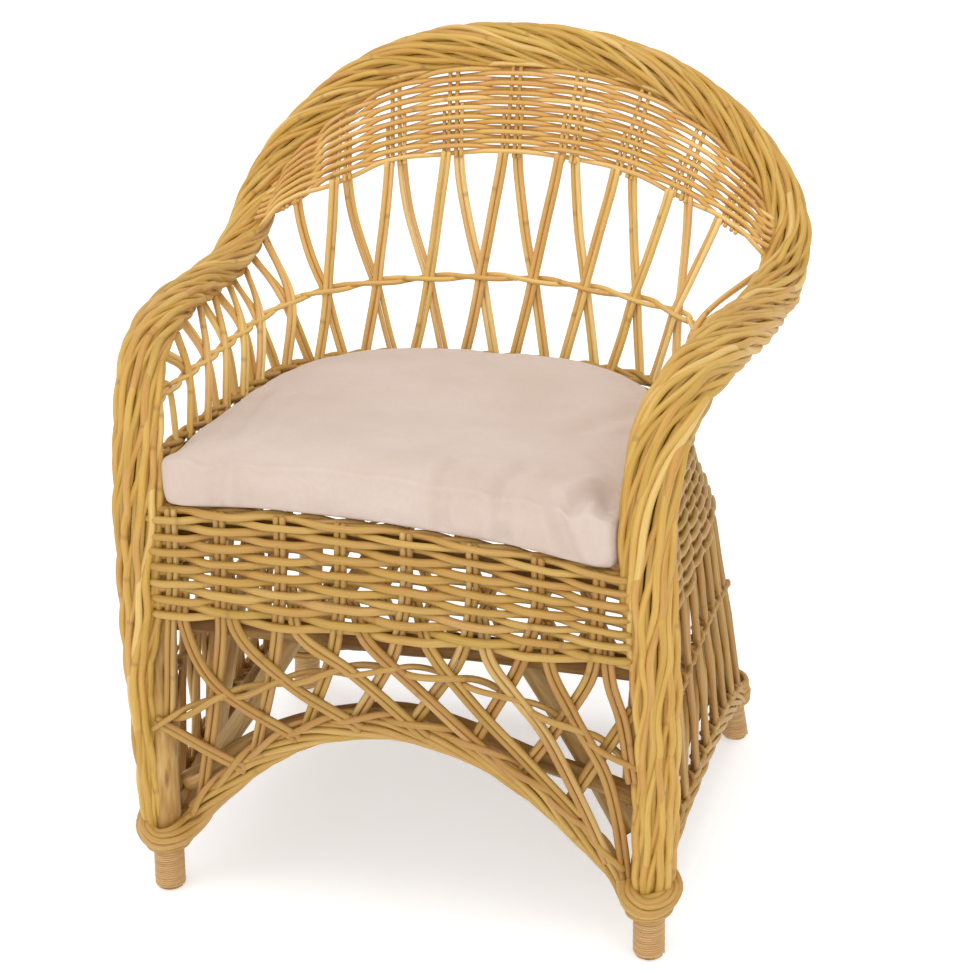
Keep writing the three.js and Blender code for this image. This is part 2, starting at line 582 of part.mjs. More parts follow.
// side and back skirts
function skirt(name, wall, arch, count, uSpan, tools, offset, fit, spread = 1.35) {
  const rods = [];
  const zTop = APRON_BOTTOM + 4;
  const [ua, ub] = uSpan;
  const step = (ub - ua) / count;
  for (let k = 0; k <= count; k++) {
    const u0 = ua + step * k;
    for (const dir of [-1, 1]) {
      const u1 = clamp01(u0 + dir * step * spread);
      const z1 = Math.max(arch(u1) + 4, 100);
      if (k === 0 && dir < 0) continue;
      if (k === count && dir > 0) continue;
      rods.push(pair([wall(u0, zTop), wall(u1, z1)].map((p) => p.add(offset(dir))), name.startsWith("back") ? sideX : sideY, 1));
    }
  }
  const pts = Array.from({ length: 9 }, (_, i) => {
    const u = lerp(0.03, 0.97, i / 8);
    return wall(u, fit(u)).toArray();
  });
  rods.push(row(pts, 4));
  addWoven(name, Manifold.union(rods), tools, WILLOW_WARM);
}
const fitZ = (u) => 232 + 32 * Math.sin(Math.PI * clamp01(u));
skirt("left_skirt_lattice", sideWall.left, sideArch, 7, [0.05, 0.95], [...rimTools, ...ankleTools, ...poleTools, ...apronTools, ...borderTools], (d) => V(d * LAYER, 0, 0), fitZ, 0.9);
skirt("right_skirt_lattice", sideWall.right, sideArch, 7, [0.05, 0.95], [...rimTools, ...ankleTools, ...poleTools, ...apronTools, ...borderTools], (d) => V(-d * LAYER, 0, 0), fitZ, 0.9);
skirt("back_skirt_lattice", backWall, backArch, 6, [0.06, 0.94], [...ankleTools, ...poleTools, ...apronTools, ...borderTools], (d) => V(0, d * LAYER, 0), fitZ);

// upper lattice: pairs cross at the twined row; u runs along the wall, 0.5 at the back centre
const mid = curve(full(level(487).map(([x, y]) => [x, y, 487])));
const fit = curve(full(FITCH));
const fitLen = fit.getLength();
const bandLine = curve(full(BAND_BOTTOM));
const bandLen = bandLine.getLength();
// distance of crossing k from the back centre along the twined row
const STEP = [31.5, 63, 63, 61, 54];
const crossS = [];
STEP.reduce((s, d, i) => (crossS[i] = s + d), 0);
const uAt = (line, s) => clamp01(0.5 + s / line.getLength());
const fitScaleTo = (line, s) => {
  // equal share of the line's half length
  return uAt(line, (s / (fitLen / 2)) * (line.getLength() / 2));
};
const rimUnder = (s) => {
  // the underside of the rim above the side wall, at the share s of the half length
  const p = fit.getPointAt(uAt(fit, s));
  let best = null;
  for (let i = 0; i <= 240; i++) {
    const q = rimCurve.getPointAt(i / 240);
    if (q.x * p.x < 0 || q.z < 560) continue;
    const d = Math.hypot(q.y - p.y) + Math.abs(q.x - p.x) * 0.1;
    if (!best || d < best.d) best = { d, q };
  }
  return best.q.clone().add(V(-Math.sign(p.x) * 14, 0, -10));
};
const BACK_SPAN = 4.6; // crossings out to here belong to the back
const lat = { left: [], back: [], right: [] };
const edgeTool = []; // grown copies of the outermost back rods, to clear the arm lattices
for (let i = 0; i < 4; i++)
  for (const sg of [-1, 1]) {
    const s = crossS[i] * sg;
    const C = fit.getPointAt(uAt(fit, s));
    for (const dir of [-1, 1]) {
      const half = i === 0 && dir * sg < 0 ? STEP[0] : STEP[i + (dir * sg > 0 ? 1 : 0)] / 2;
      const off = dir * half;
      const lowP = mid.getPointAt(fitScaleTo(mid, s + off * 0.62)).add(V(0, 0, -4));
      const out = V(C.x, C.y + 40, 0).normalize().multiplyScalar(dir * LAYER);
      const t = s - off + dir * 7.2;
      const topP = Math.abs(t) * 1.09 > bandLen / 2 - 6 ? rimUnder(t) : bandLine.getPointAt(uAt(bandLine, t * 1.09));
      const line = [lowP, C, topP].map((p) => p.clone().add(out));
      lat.back.push(pair(line, sideX, 2));
      if (i === 3) edgeTool.push(pair(line, sideX, 2, 0.6));
    }
  }
// arm pairs: distance from the back centre along the twined row and along the foot of the
// lattice, then the share of the rim where they end
const ARM_PAIRS = [
  [[274, 235, 0.3281], [327, 288, 0.3022], [363, 342, 0.2807], [410, 392, 0.2624], [459, 441, 0.2348], [508, 497, 0.2005], [556, 546, 0.1732]],
  [[271, 279, 0.342], [328, 340, 0.3159], [371, 382, 0.2932], [422, 430, 0.273], [468, 480, 0.2536], [516, 528, 0.2177]],
];
for (const [side, sg] of SIDES)
  ARM_PAIRS.forEach((list, layer) => {
    for (const [sf, sm, ur] of list) {
      const C = fit.getPointAt(uAt(fit, sg * sf));
      const lowP = mid.getPointAt(uAt(mid, sg * sm)).add(V(0, 0, -4));
      const R = rimCurve.getPointAt(ur);
      const topP = V(-sg * (R.x + 14), R.y, R.z - 14);
      const out = V(C.x, C.y + 40, 0).normalize().multiplyScalar((layer ? -1 : 1) * LAYER);
      lat[side].push(pair([lowP, C, topP].map((p) => p.clone().add(out)), sideY, 3));
    }
  });
const splitU = (crossS[3] + crossS[4]) / 2 / fitLen;
const rowOf = (line, a, b, n, g = 0) => row(Array.from({ length: n + 1 }, (_, i) => line.getPointAt(lerp(a, b, i / n)).toArray()), n, sideZ, g);
lat.back.push(rowOf(fit, 0.5 - splitU + 0.0012, 0.5 + splitU - 0.0012, 8));
for (const line of [fit]) edgeTool.push(rowOf(line, 0.5 - splitU + 0.0012 - 0.0005, 0.5 + splitU - 0.0012 + 0.0005, 8, 0.6));
lat.left.push(rowOf(fit, 0.004, 0.5 - splitU - 0.0012, 6));
lat.right.push(rowOf(fit, 0.5 + splitU + 0.0012, 0.996, 6));

// band under the back rim
const BAND_TOP = Array.from({ length: 9 }, (_, i) => {
  const share = i / 8;
  return share;
});
const bandPoint = (u, v) => {
  const a = bandLine.getPointAt(u);
  const uu = lerp(0.372, 0.628, u);
  const r = rimCurve.getPointAt(uu);
  const inner = r.clone().add(rimSide(r).clone().normalize().multiplyScalar(-12)).add(V(0, -6, 0));
  return a.lerp(inner, v);
};
const band = (grow) => sheet(bandPoint, 18, 8, 8, 2.0, 1, grow);
addWoven("back_band", band(0), [...rimTools], WILLOW);
const bandTool = band(0.5);

const upperTools = [...rimTools, bandTool, ...apronTools, deckTool, ...legTools];
addWoven("back_lattice", Manifold.union(lat.back), upperTools, WILLOW_WARM);
addWoven("left_arm_lattice", Manifold.union(lat.left), [...upperTools, frontApronTool, ...edgeTool], WILLOW_WARM);
addWoven("right_arm_lattice", Manifold.union(lat.right), [...upperTools, frontApronTool, ...edgeTool], WILLOW_WARM);

// ---------------------------------------------------------------- cushion
{
  const half = [[0, 160], [64, 157], [126, 141], [166, 117], [194, 90], [213, 54], [223, 10], [228, -50], [230, -120], [231, -190], [230, -240], [227, -264], [217, -272], [110, -273], [0, -273]];
  const outline = curve([...half.map(([x, y]) => [x, y, 0]), ...mirrorPts(half.map(([x, y]) => [x, y, 0])).reverse().slice(1, -1)]);
  outline.closed = true;
  const n = 36;
  const flat = [];
  for (let i = 0; i < n; i++) flat.push(outline.getPointAt(i / n));
  const rings = [];
  const prof = [
    [0.03, 0], [0.25, 0], [0.5, 0], [0.74, 0], [0.94, 0], [0.975, 5], [0.995, 14], [1.0, 30], [0.997, 42], [0.98, 50], [0.94, 54], [0.78, 56.5],
    [0.55, 57.5], [0.3, 58], [0.03, 58],
  ];
  const centre = V(0, -60, 0);
  for (const [k, dz] of prof)
    rings.push(flat.map((p) => V(centre.x + (p.x - centre.x) * k, centre.y + (p.y - centre.y) * k, CUSHION_BOTTOM + dz)));
  add("seat_cushion", loft(rings), FABRIC, 0.9);
}

// ---------------------------------------------------------------- scene
const chair = new THREE.Group();
chair.name = "willow_armchair";
for (const { name, s, colour, rough } of pieces) {
  const m = biggest(s.simplify(0.1)).getMesh();
  const g = new THREE.BufferGeometry();
  const pos = new Float32Array((m.vertProperties.length / m.numProp) * 3);
  for (let i = 0; i < pos.length / 3; i++)
    {
      const v = [0, 1, 2].map((k) => m.vertProperties[i * m.numProp + k]);
      lean(v);
      pos.set(v, i * 3);
    }
  g.setAttribute("position", new THREE.BufferAttribute(pos, 3));
  g.setIndex(new THREE.BufferAttribute(new Uint32Array(m.triVerts), 1));
  g.computeVertexNormals();
  const mesh = new THREE.Mesh(g, new THREE.MeshStandardMaterial({ color: colour, roughness: rough, metalness: 0 }));
  mesh.name = name;
  mesh.position.set(0, CENTRE_Y, 0);
  chair.add(mesh);
}

export default chair;
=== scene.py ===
"""Willow armchair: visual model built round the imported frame. Drawing lengths are millimetres."""

import math

import bpy
import numpy as np
from mathutils import Matrix, Vector


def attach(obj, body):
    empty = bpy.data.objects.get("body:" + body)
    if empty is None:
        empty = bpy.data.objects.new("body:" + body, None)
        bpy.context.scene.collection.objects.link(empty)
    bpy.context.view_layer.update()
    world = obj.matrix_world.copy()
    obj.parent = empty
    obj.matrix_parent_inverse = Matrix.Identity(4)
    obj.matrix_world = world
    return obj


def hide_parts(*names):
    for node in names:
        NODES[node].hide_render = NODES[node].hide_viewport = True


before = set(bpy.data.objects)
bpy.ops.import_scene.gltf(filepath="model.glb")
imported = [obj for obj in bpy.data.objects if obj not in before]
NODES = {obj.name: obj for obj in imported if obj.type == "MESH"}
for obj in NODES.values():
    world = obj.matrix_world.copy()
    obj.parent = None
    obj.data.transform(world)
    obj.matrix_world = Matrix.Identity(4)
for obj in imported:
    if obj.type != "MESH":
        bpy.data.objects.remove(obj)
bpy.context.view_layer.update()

CENTRE_Y = -17.5
scene = bpy.context.scene


# ------------------------------------------------------------------ camera
def make_camera():
    al, yaw, pitch, roll = 0.289422506, -0.0139582418, 0.384700731, -0.0185516789
    dist, height, focal = 1.92780999, 1.1560573, 1988.68194
    k = 1.06
    a = al + yaw
    C = np.array([math.sin(al) * dist, -math.cos(al) * dist, height]) * k
    C[1] += CENTRE_Y / 1000
    fwd = np.array(
        [-math.sin(a) * math.cos(pitch), math.cos(a) * math.cos(pitch), -math.sin(pitch)]
    )
    right = np.cross(fwd, [0, 0, 1])
    right /= np.linalg.norm(right)
    up = np.cross(right, fwd)
    r2 = right * math.cos(roll) + up * math.sin(roll)
    u2 = -right * math.sin(roll) + up * math.cos(roll)
    data = bpy.data.cameras.new("camera")
    data.sensor_fit = "HORIZONTAL"
    data.sensor_width = 36.0
    data.lens = 36.0 * focal / 970.0
    data.dof.use_dof = False
    data.clip_start, data.clip_end = 0.05, 60
    cam = bpy.data.objects.new("camera", data)
    scene.collection.objects.link(cam)
    m = np.eye(4)
    m[:3, 0], m[:3, 1], m[:3, 2], m[:3, 3] = r2, u2, -fwd, C
    cam.matrix_world = Matrix(m.tolist())
    scene.camera = cam
    return cam


CAM = make_camera()


# ------------------------------------------------------------------ small tools
def lerp(a, b, t):
    return a + (b - a) * t


def unit(v):
    v = np.asarray(v, float)
    return v / np.maximum(np.linalg.norm(v, axis=-1, keepdims=True), 1e-12)


def tab(rows, key):
    rows = np.asarray(rows, float)
    return np.interp(key, rows[:, 0], rows[:, 1])


def smooth(t):
    t = np.clip(t, 0, 1)
    return t * t * (3 - 2 * t)


def lean(P):
    """The hand-built seat leans: its right side sits lower than its left, most at the front,
    and its front edge bows up in the middle."""
    P = np.array(P, float)
    x, y, z = P[..., 0], P[..., 1], P[..., 2]
    f = np.interp(y, [-200, 170], [1.0, 0.2])
    g = np.interp(z, [300, 337, 446, 500, 545], [0, 0.1, 1, 0.8, 0])
    h = np.interp(z, [315, 337, 425, 520, 550], [0, 0.25, 1, 1, 0])
    bow = 15 * np.clip(1 - (x / 240) ** 2, 0, None) * np.clip((-60 - y) / 180, 0, 1) * h
    P[..., 2] = z + bow - 0.055 * x * f * g
    return P


class Line:
    """A centripetal Catmull-Rom curve through points, sampled finely."""

    def __init__(self, pts, n=28, closed=False):
        P = np.asarray(pts, float)
        m = len(P)
        if closed:
            E = np.vstack([P[-1], P, P[0], P[1]])
            segs = m
        else:
            E = np.vstack([2 * P[0] - P[1], P, 2 * P[-1] - P[-2]])
            segs = m - 1
        out = []
        t = np.linspace(0, 1, n, endpoint=False)[:, None]
        for i in range(segs):
            p0, p1, p2, p3 = E[i : i + 4]
            d0, d1, d2 = (
                max(np.linalg.norm(b - a), 1e-6) ** 0.5
                for a, b in ((p0, p1), (p1, p2), (p2, p3))
            )
            t1 = ((p1 - p0) / d0 - (p2 - p0) / (d0 + d1) + (p2 - p1) / d1) * d1
            t2 = ((p2 - p1) / d1 - (p3 - p1) / (d1 + d2) + (p3 - p2) / d2) * d1
            out.append(
                p1
                + t1 * t
                + (-3 * p1 + 3 * p2 - 2 * t1 - t2) * t**2
                + (2 * p1 - 2 * p2 + t1 + t2) * t**3
            )
        out.append(P[:1] if closed else P[-1:])
        self.pts = np.vstack(out)
        step = np.linalg.norm(np.diff(self.pts, axis=0), axis=1)
        self.s = np.concatenate([[0], np.cumsum(step)])
        self.length = self.s[-1]
        self.count = len(self.pts)

    def at(self, u):
        s = np.clip(np.asarray(u, float), 0, 1) * self.length
        return np.stack([np.interp(s, self.s, self.pts[:, k]) for k in range(3)], -1)

    def raw(self, t):
        i = np.clip(np.asarray(t, float), 0, 1) * (self.count - 1)
        x = np.arange(self.count)
        return np.stack([np.interp(i, x, self.pts[:, k]) for k in range(3)], -1)


def tangents(path):
    d = np.empty_like(path)
    d[1:-1] = path[2:] - path[:-2]
    d[0], d[-1] = path[1] - path[0], path[-1] - path[-2]
    return unit(d)


def arc(path):
    return np.concatenate(
        [[0], np.cumsum(np.linalg.norm(np.diff(path, axis=0), axis=1))]
    )


def drift(s, rng, amp, waves=(60, 130, 260)):
    """Smooth random wander along a length s in mm."""
    out = np.zeros_like(s)
    for lam in waves:
        lam = lam * rng.uniform(0.8, 1.3)
        out += math.sqrt(lam / 130) * np.sin(s * 2 * math.pi / lam + rng.uniform(0, 6.28))
    return out * amp / len(waves)


class Bundle:
    """Rods gathered into one mesh, each a closed tube with its own attributes."""

    def __init__(self, name, seed):
        self.name = name
        self.rng = np.random.default_rng(seed)
        self.co, self.space, self.rnd, self.tone, self.painted_shade = [], [], [], [], []
        self.loops, self.sizes = [], []
        self.n = 0

    def rod(self, path, r, sides=8, tone=0.5, painted_shade=0.0, ref=None, flat=1.0, tip=(1, 1), s0=None):
        path = np.asarray(path, float)
        m = len(path)
        r = np.broadcast_to(np.asarray(r, float), (m,)).copy()
        T = tangents(path)
        if ref is None:
            best, score = None, -1
            for c in np.eye(3):
                q = np.linalg.norm(np.cross(T, c), axis=1).min()
                if q > score:
                    best, score = c, q
            N = np.empty_like(T)
            if score > 0.25:
                N[:] = best
            else:
                v = best
                for i in range(m):
                    v = v - T[i] * float(v @ T[i])
                    v = v / max(np.linalg.norm(v), 1e-9)
                    N[i] = v
        else:
            N = np.broadcast_to(np.asarray(ref, float), (m, 3))
        N = unit(N - T * np.sum(N * T, 1, keepdims=True))
        B = np.cross(T, N)
        s = arc(path)
        # rounded ends: one smaller ring beyond each end
        P0 = path[0] - T[0] * r[0] * 0.45 * tip[0]
        P1 = path[-1] + T[-1] * r[-1] * 0.45 * tip[1]
        path = np.vstack([P0, path, P1])
        N = np.vstack([N[:1], N, N[-1:]])
        B = np.vstack([B[:1], B, B[-1:]])
        s = np.concatenate([s[:1], s, s[-1:]])
        r = np.concatenate([r[:1] * 0.55, r, r[-1:] * 0.55])
        ang = np.arange(sides) / sides * 2 * math.pi
        c, sn = np.cos(ang), np.sin(ang)
        V = (
            path[:, None, :]
            + N[:, None, :] * (r[:, None] * c[None])[..., None]
            + B[:, None, :] * (r[:, None] * flat * sn[None])[..., None]
        )
        M = m + 2
        rid = float(self.rng.random())
        off = float(self.rng.uniform(0, 3)) if s0 is None else s0
        self.co.append(V.reshape(-1, 3))
        sp = np.empty((M, sides, 3))
        sp[..., 0], sp[..., 1] = c[None], sn[None]
        sp[..., 2] = (s / 1000 + off)[:, None]
        self.space.append(sp.reshape(-1, 3))
        cnt = M * sides
        self.rnd.append(np.full(cnt, rid))
        self.tone.append(np.full(cnt, tone) if np.isscalar(tone) else np.repeat(np.concatenate([tone[:1], tone, tone[-1:]]), sides))
        self.painted_shade.append(
            np.full(cnt, painted_shade) if np.isscalar(painted_shade) else np.repeat(np.concatenate([painted_shade[:1], painted_shade, painted_shade[-1:]]), sides)
        )
        i = np.arange(M - 1)[:, None] * sides
        j = np.arange(sides)[None]
        jn = (j + 1) % sides
        quads = np.stack([i + j, i + jn, i + sides + jn, i + sides + j], -1).reshape(-1) + self.n
        self.loops.append(quads)
        self.sizes.append(np.full((M - 1) * sides, 4))
        self.loops.append(np.arange(sides)[::-1] + self.n)
        self.loops.append(np.arange(sides) + (M - 1) * sides + self.n)
        self.sizes.append(np.array([sides, sides]))
        self.n += cnt

    def build(self, material, body="chair", replaces=(), slot=None):
        co = lean(np.vstack(self.co))
        co[:, 2] = np.maximum(co[:, 2], 0.2)
        co = np.stack([co[:, 0], co[:, 1] + CENTRE_Y, co[:, 2]], 1) / 1000
        me = bpy.data.meshes.new(self.name)
        me.vertices.add(len(co))
        me.vertices.foreach_set("co", co.astype(np.float32).ravel())
        loops = np.concatenate(self.loops).astype(np.int32)
        sizes = np.concatenate(self.sizes).astype(np.int32)
        me.loops.add(len(loops))
        me.loops.foreach_set("vertex_index", loops)
        me.polygons.add(len(sizes))
        starts = np.concatenate([[0], np.cumsum(sizes)[:-1]]).astype(np.int32)
        me.polygons.foreach_set("loop_start", starts)
        me.polygons.foreach_set("loop_total", sizes)
        me.polygons.foreach_set("use_smooth", np.ones(len(sizes), bool))
        me.update(calc_edges=True)
        # One of these attributes is painted shade: each rod's share of the shade brown that its material mixes in, for
        # rods in the chair's own shadow.
        for nm, kind, data, field in (
            ("rodspace", "FLOAT_VECTOR", np.vstack(self.space), "vector"),
            ("rodid", "FLOAT", np.concatenate(self.rnd), "value"),
            ("tone", "FLOAT", np.concatenate(self.tone), "value"),
            ("painted_shade", "FLOAT", np.concatenate(self.painted_shade), "value"),
        ):
            at = me.attributes.new(nm, kind, "POINT")
            at.data.foreach_set(field, data.astype(np.float32).ravel())
        me.materials.append(material)
        ob = bpy.data.objects.new(self.name, me)
        scene.collection.objects.link(ob)
        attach(ob, body)
        if replaces:
            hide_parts(*replaces)
        return ob


# ------------------------------------------------------------------ node helpers
class Mat:
    def __init__(self, name):
        self.m = bpy.data.materials.new(name)
        self.m.use_nodes = True
        self.t = self.m.node_tree
        self.t.nodes.clear()
        self.out = self.t.nodes.new("ShaderNodeOutputMaterial")
        self.b = self.t.nodes.new("ShaderNodeBsdfPrincipled")
        self.t.links.new(self.b.outputs[0], self.out.inputs[0])

    def node(self, kind, **kw):
        n = self.t.nodes.new(kind)
        for k, v in kw.items():
            setattr(n, k, v)
        return n

    def link(self, a, b):
        self.t.links.new(a, b)

    def attr(self, name, out):
        n = self.node("ShaderNodeAttribute", attribute_name=name)
        return n.outputs[out]

    def math(self, op, a, b=None, c=None, clamp=False):
        n = self.node("ShaderNodeMath", operation=op, use_clamp=clamp)
        for i, v in enumerate((a, b, c)):
            if v is None:
                continue
            if isinstance(v, (int, float)):
                n.inputs[i].default_value = v
            else:
                self.link(v, n.inputs[i])
        return n.outputs[0]

    def vmath(self, op, a, b=None, scale=None):
        n = self.node("ShaderNodeVectorMath", operation=op)
        for i, v in enumerate((a, b)):
            if v is None:
                continue
            if isinstance(v, (tuple, list)):
                n.inputs[i].default_value = v
            else:
                self.link(v, n.inputs[i])
        if scale is not None:
            if isinstance(scale, (int, float)):
                n.inputs["Scale"].default_value = scale
            else:
                self.link(scale, n.inputs["Scale"])
        return n.outputs[0]

    def comb(self, x, y, z):
        n = self.node("ShaderNodeCombineXYZ")
        for i, v in enumerate((x, y, z)):
            if isinstance(v, (int, float)):
                n.inputs[i].default_value = v
            else:
                self.link(v, n.inputs[i])
        return n.outputs[0]

    def noise(self, vec, scale=1.0, detail=3.0, rough=0.55, distortion=0.0):
        n = self.node("ShaderNodeTexNoise")
        if vec is not None:
            self.link(vec, n.inputs["Vector"])
        n.inputs["Scale"].default_value = scale
        n.inputs["Detail"].default_value = detail
        n.inputs["Roughness"].default_value = rough
        n.inputs["Distortion"].default_value = distortion
        return n.outputs["Fac"]

    def ramp(self, fac, stops, mode="LINEAR"):
        n = self.node("ShaderNodeValToRGB")
        n.color_ramp.interpolation = mode
        el = n.color_ramp.elements
        while len(el) < len(stops):
            el.new(0.5)
        for e, (p, c) in zip(el, stops):
            e.position = p
            e.color = (*c, 1) if len(c) == 3 else c
        self.link(fac, n.inputs[0])
        return n.outputs[0]

    def mix(self, fac, a, b, mode="MIX"):
        n = self.node("ShaderNodeMix", data_type="RGBA", blend_type=mode)
        if isinstance(fac, (int, float)):
            n.inputs[0].default_value = fac
        else:
            self.link(fac, n.inputs[0])
        for i, v in ((6, a), (7, b)):
            if isinstance(v, tuple):
                n.inputs[i].default_value = (*v, 1)
            else:
                self.link(v, n.inputs[i])
        return n.outputs[2]

    def map(self, v, lo, hi, a=0.0, b=1.0):
        n = self.node("ShaderNodeMapRange")
        n.inputs[1].default_value, n.inputs[2].default_value = lo, hi
        n.inputs[3].default_value, n.inputs[4].default_value = a, b
        self.link(v, n.inputs[0])
        return n.outputs[0]

    def bump(self, height, strength, distance, normal=None):
        n = self.node("ShaderNodeBump")
        n.inputs["Strength"].default_value = strength
        n.inputs["Distance"].default_value = distance
        self.link(height, n.inputs["Height"])
        if normal is not None:
            self.link(normal, n.inputs["Normal"])
        return n.outputs[0]


def srgb(r, g, b):
    f = lambda c: c / 12.92 if c <= 0.04045 else ((c + 0.055) / 1.055) ** 2.4
    return tuple(f(v / 255) for v in (r, g, b))


def willow(name, palette, shadow, gain=1.0, rough=0.46, spec=0.42):
    """Peeled, lightly varnished willow rod: a tint per rod, streaks along it, node scars, and painted shade: a per-rod
    share of a shade brown for rods in the chair's own shadow.
    """
    M = Mat(name)
    rid = M.attr("rodid", "Fac")
    tone = M.attr("tone", "Fac")
    painted_shade = M.attr("painted_shade", "Fac")
    space = M.attr("rodspace", "Vector")
    sep = M.node("ShaderNodeSeparateXYZ")
    M.link(space, sep.inputs[0])
    cx, cy, cz = sep.outputs
    shift = M.math("MULTIPLY", rid, 41.7)
    # fine streaks: quick round the rod, slow along it
    streak_v = M.comb(
        M.math("MULTIPLY_ADD", cx, 2.6, shift),
        M.math("MULTIPLY", cy, 2.6),
        M.math("MULTIPLY", cz, 16.0),
    )
    streak = M.noise(streak_v, 1.6, 4.0, 0.62)
    fine_v = M.comb(
        M.math("MULTIPLY_ADD", cx, 7.0, shift),
        M.math("MULTIPLY", cy, 7.0),
        M.math("MULTIPLY", cz, 60.0),
    )
    fine = M.noise(fine_v, 1.5, 3.0, 0.6)
    # slow patches along the rod
    patch_v = M.comb(shift, M.math("MULTIPLY", cx, 0.35), M.math("MULTIPLY", cz, 7.0))
    patch = M.noise(patch_v, 1.0, 2.0, 0.5)
    pick = M.math(
        "MULTIPLY_ADD", M.math("SUBTRACT", patch, 0.5), 0.75, M.math("MULTIPLY_ADD", M.math("SUBTRACT", tone, 0.5), 0.9, rid)
    )
    base = M.ramp(M.math("MAXIMUM", M.math("MINIMUM", pick, 1.0), 0.0), palette)
    base = M.mix(M.map(streak, 0.36, 0.7, 0.0, 0.55), base, M.mix(1.0, base, (0.66, 0.55, 0.40), "MULTIPLY"))
    base = M.mix(M.map(fine, 0.5, 0.78, 0.0, 0.35), base, M.mix(1.0, base, (1.22, 1.2, 1.18), "MULTIPLY"))
    # node scars: a thin dark ring now and then
    cell = M.math("MULTIPLY_ADD", cz, 5.2, M.math("MULTIPLY", rid, 9.1))
    fr = M.math("FRACT", cell)
    ring = M.math("SUBTRACT", 1.0, M.math("MULTIPLY", M.math("ABSOLUTE", M.math("SUBTRACT", fr, 0.5)), 44.0), clamp=True)
    some = M.math("GREATER_THAN", M.noise(M.comb(M.math("FLOOR", cell), shift, 0.0), 3.1, 0.0), 0.52)
    scar = M.math("MULTIPLY", ring, some)
    base = M.mix(M.math("MULTIPLY", scar, 0.45), base, (0.23, 0.11, 0.035))
    # Painted shade: each rod is mixed towards the shadow brown by its own share, standing in for the chair's shadow on
    # rods low down, under the seat and in the rim's core.
    base = M.mix(painted_shade, base, shadow)
    if gain != 1.0:
        base = M.mix(1.0, base, (gain, gain, gain), "MULTIPLY")
    M.link(base, M.b.inputs["Base Color"])
    M.link(M.map(streak, 0.3, 0.75, rough - 0.07, rough + 0.12), M.b.inputs["Roughness"])
    M.b.inputs["Specular IOR Level"].default_value = spec
    h = M.math("ADD", M.math("MULTIPLY", fine, 0.5), M.math("MULTIPLY_ADD", scar, 1.4, M.math("MULTIPLY", streak, 0.7)))
    M.link(M.bump(h, 0.35, 0.0007), M.b.inputs["Normal"])
    return M.m


GOLD = srgb(196, 156, 71)
STRAW = srgb(204, 168, 87)
TAN = srgb(190, 143, 71)
GREEN = srgb(187, 149, 66)
PALE = srgb(214, 182, 108)
PINK = srgb(198, 154, 89)
# SHADE is painted shade: the dark brown that rods lying in the chair's own shadow are mixed towards.
SHADE = srgb(84, 46, 10)
MAT_RIM = willow("willow_rim", [(0.0, GREEN), (0.25, STRAW), (0.5, GOLD), (0.75, TAN), (1.0, PALE)], SHADE)
# The weave and skirt palettes are darker copies of the rim's: painted shade for the aprons, borders and skirts that lie
# low in the chair's shadow.
MAT_WEAVE_SHADED = willow("willow_weave_shaded", [(0.0, srgb(178, 146, 66)), (0.25, srgb(184, 146, 70)), (0.55, srgb(180, 138, 70)), (0.8, srgb(192, 158, 84)), (1.0, srgb(188, 146, 88))], SHADE)
# The lattice palette is a lighter copy of the rim's: painted light on the open lattice of the upper back.
MAT_LATTICE_LIT = willow("willow_lattice_lit", [(0.0, srgb(214, 174, 92)), (0.3, srgb(225, 191, 116)), (0.6, srgb(210, 165, 92)), (0.85, srgb(220, 178, 114)), (1.0, srgb(233, 204, 137))], SHADE)
MAT_BAND = willow("willow_band", [(0.0, srgb(204, 160, 80)), (0.3, srgb(216, 176, 99)), (0.6, srgb(206, 158, 84)), (0.85, srgb(210, 164, 97)), (1.0, srgb(226, 190, 118))], SHADE)
MAT_SKIRT_SHADED = willow("willow_skirt_shaded", [(0.0, srgb(165, 126, 58)), (0.3, srgb(182, 145, 76)), (0.6, srgb(169, 125, 60)), (0.85, srgb(179, 136, 77)), (1.0, srgb(194, 160, 97))], SHADE)


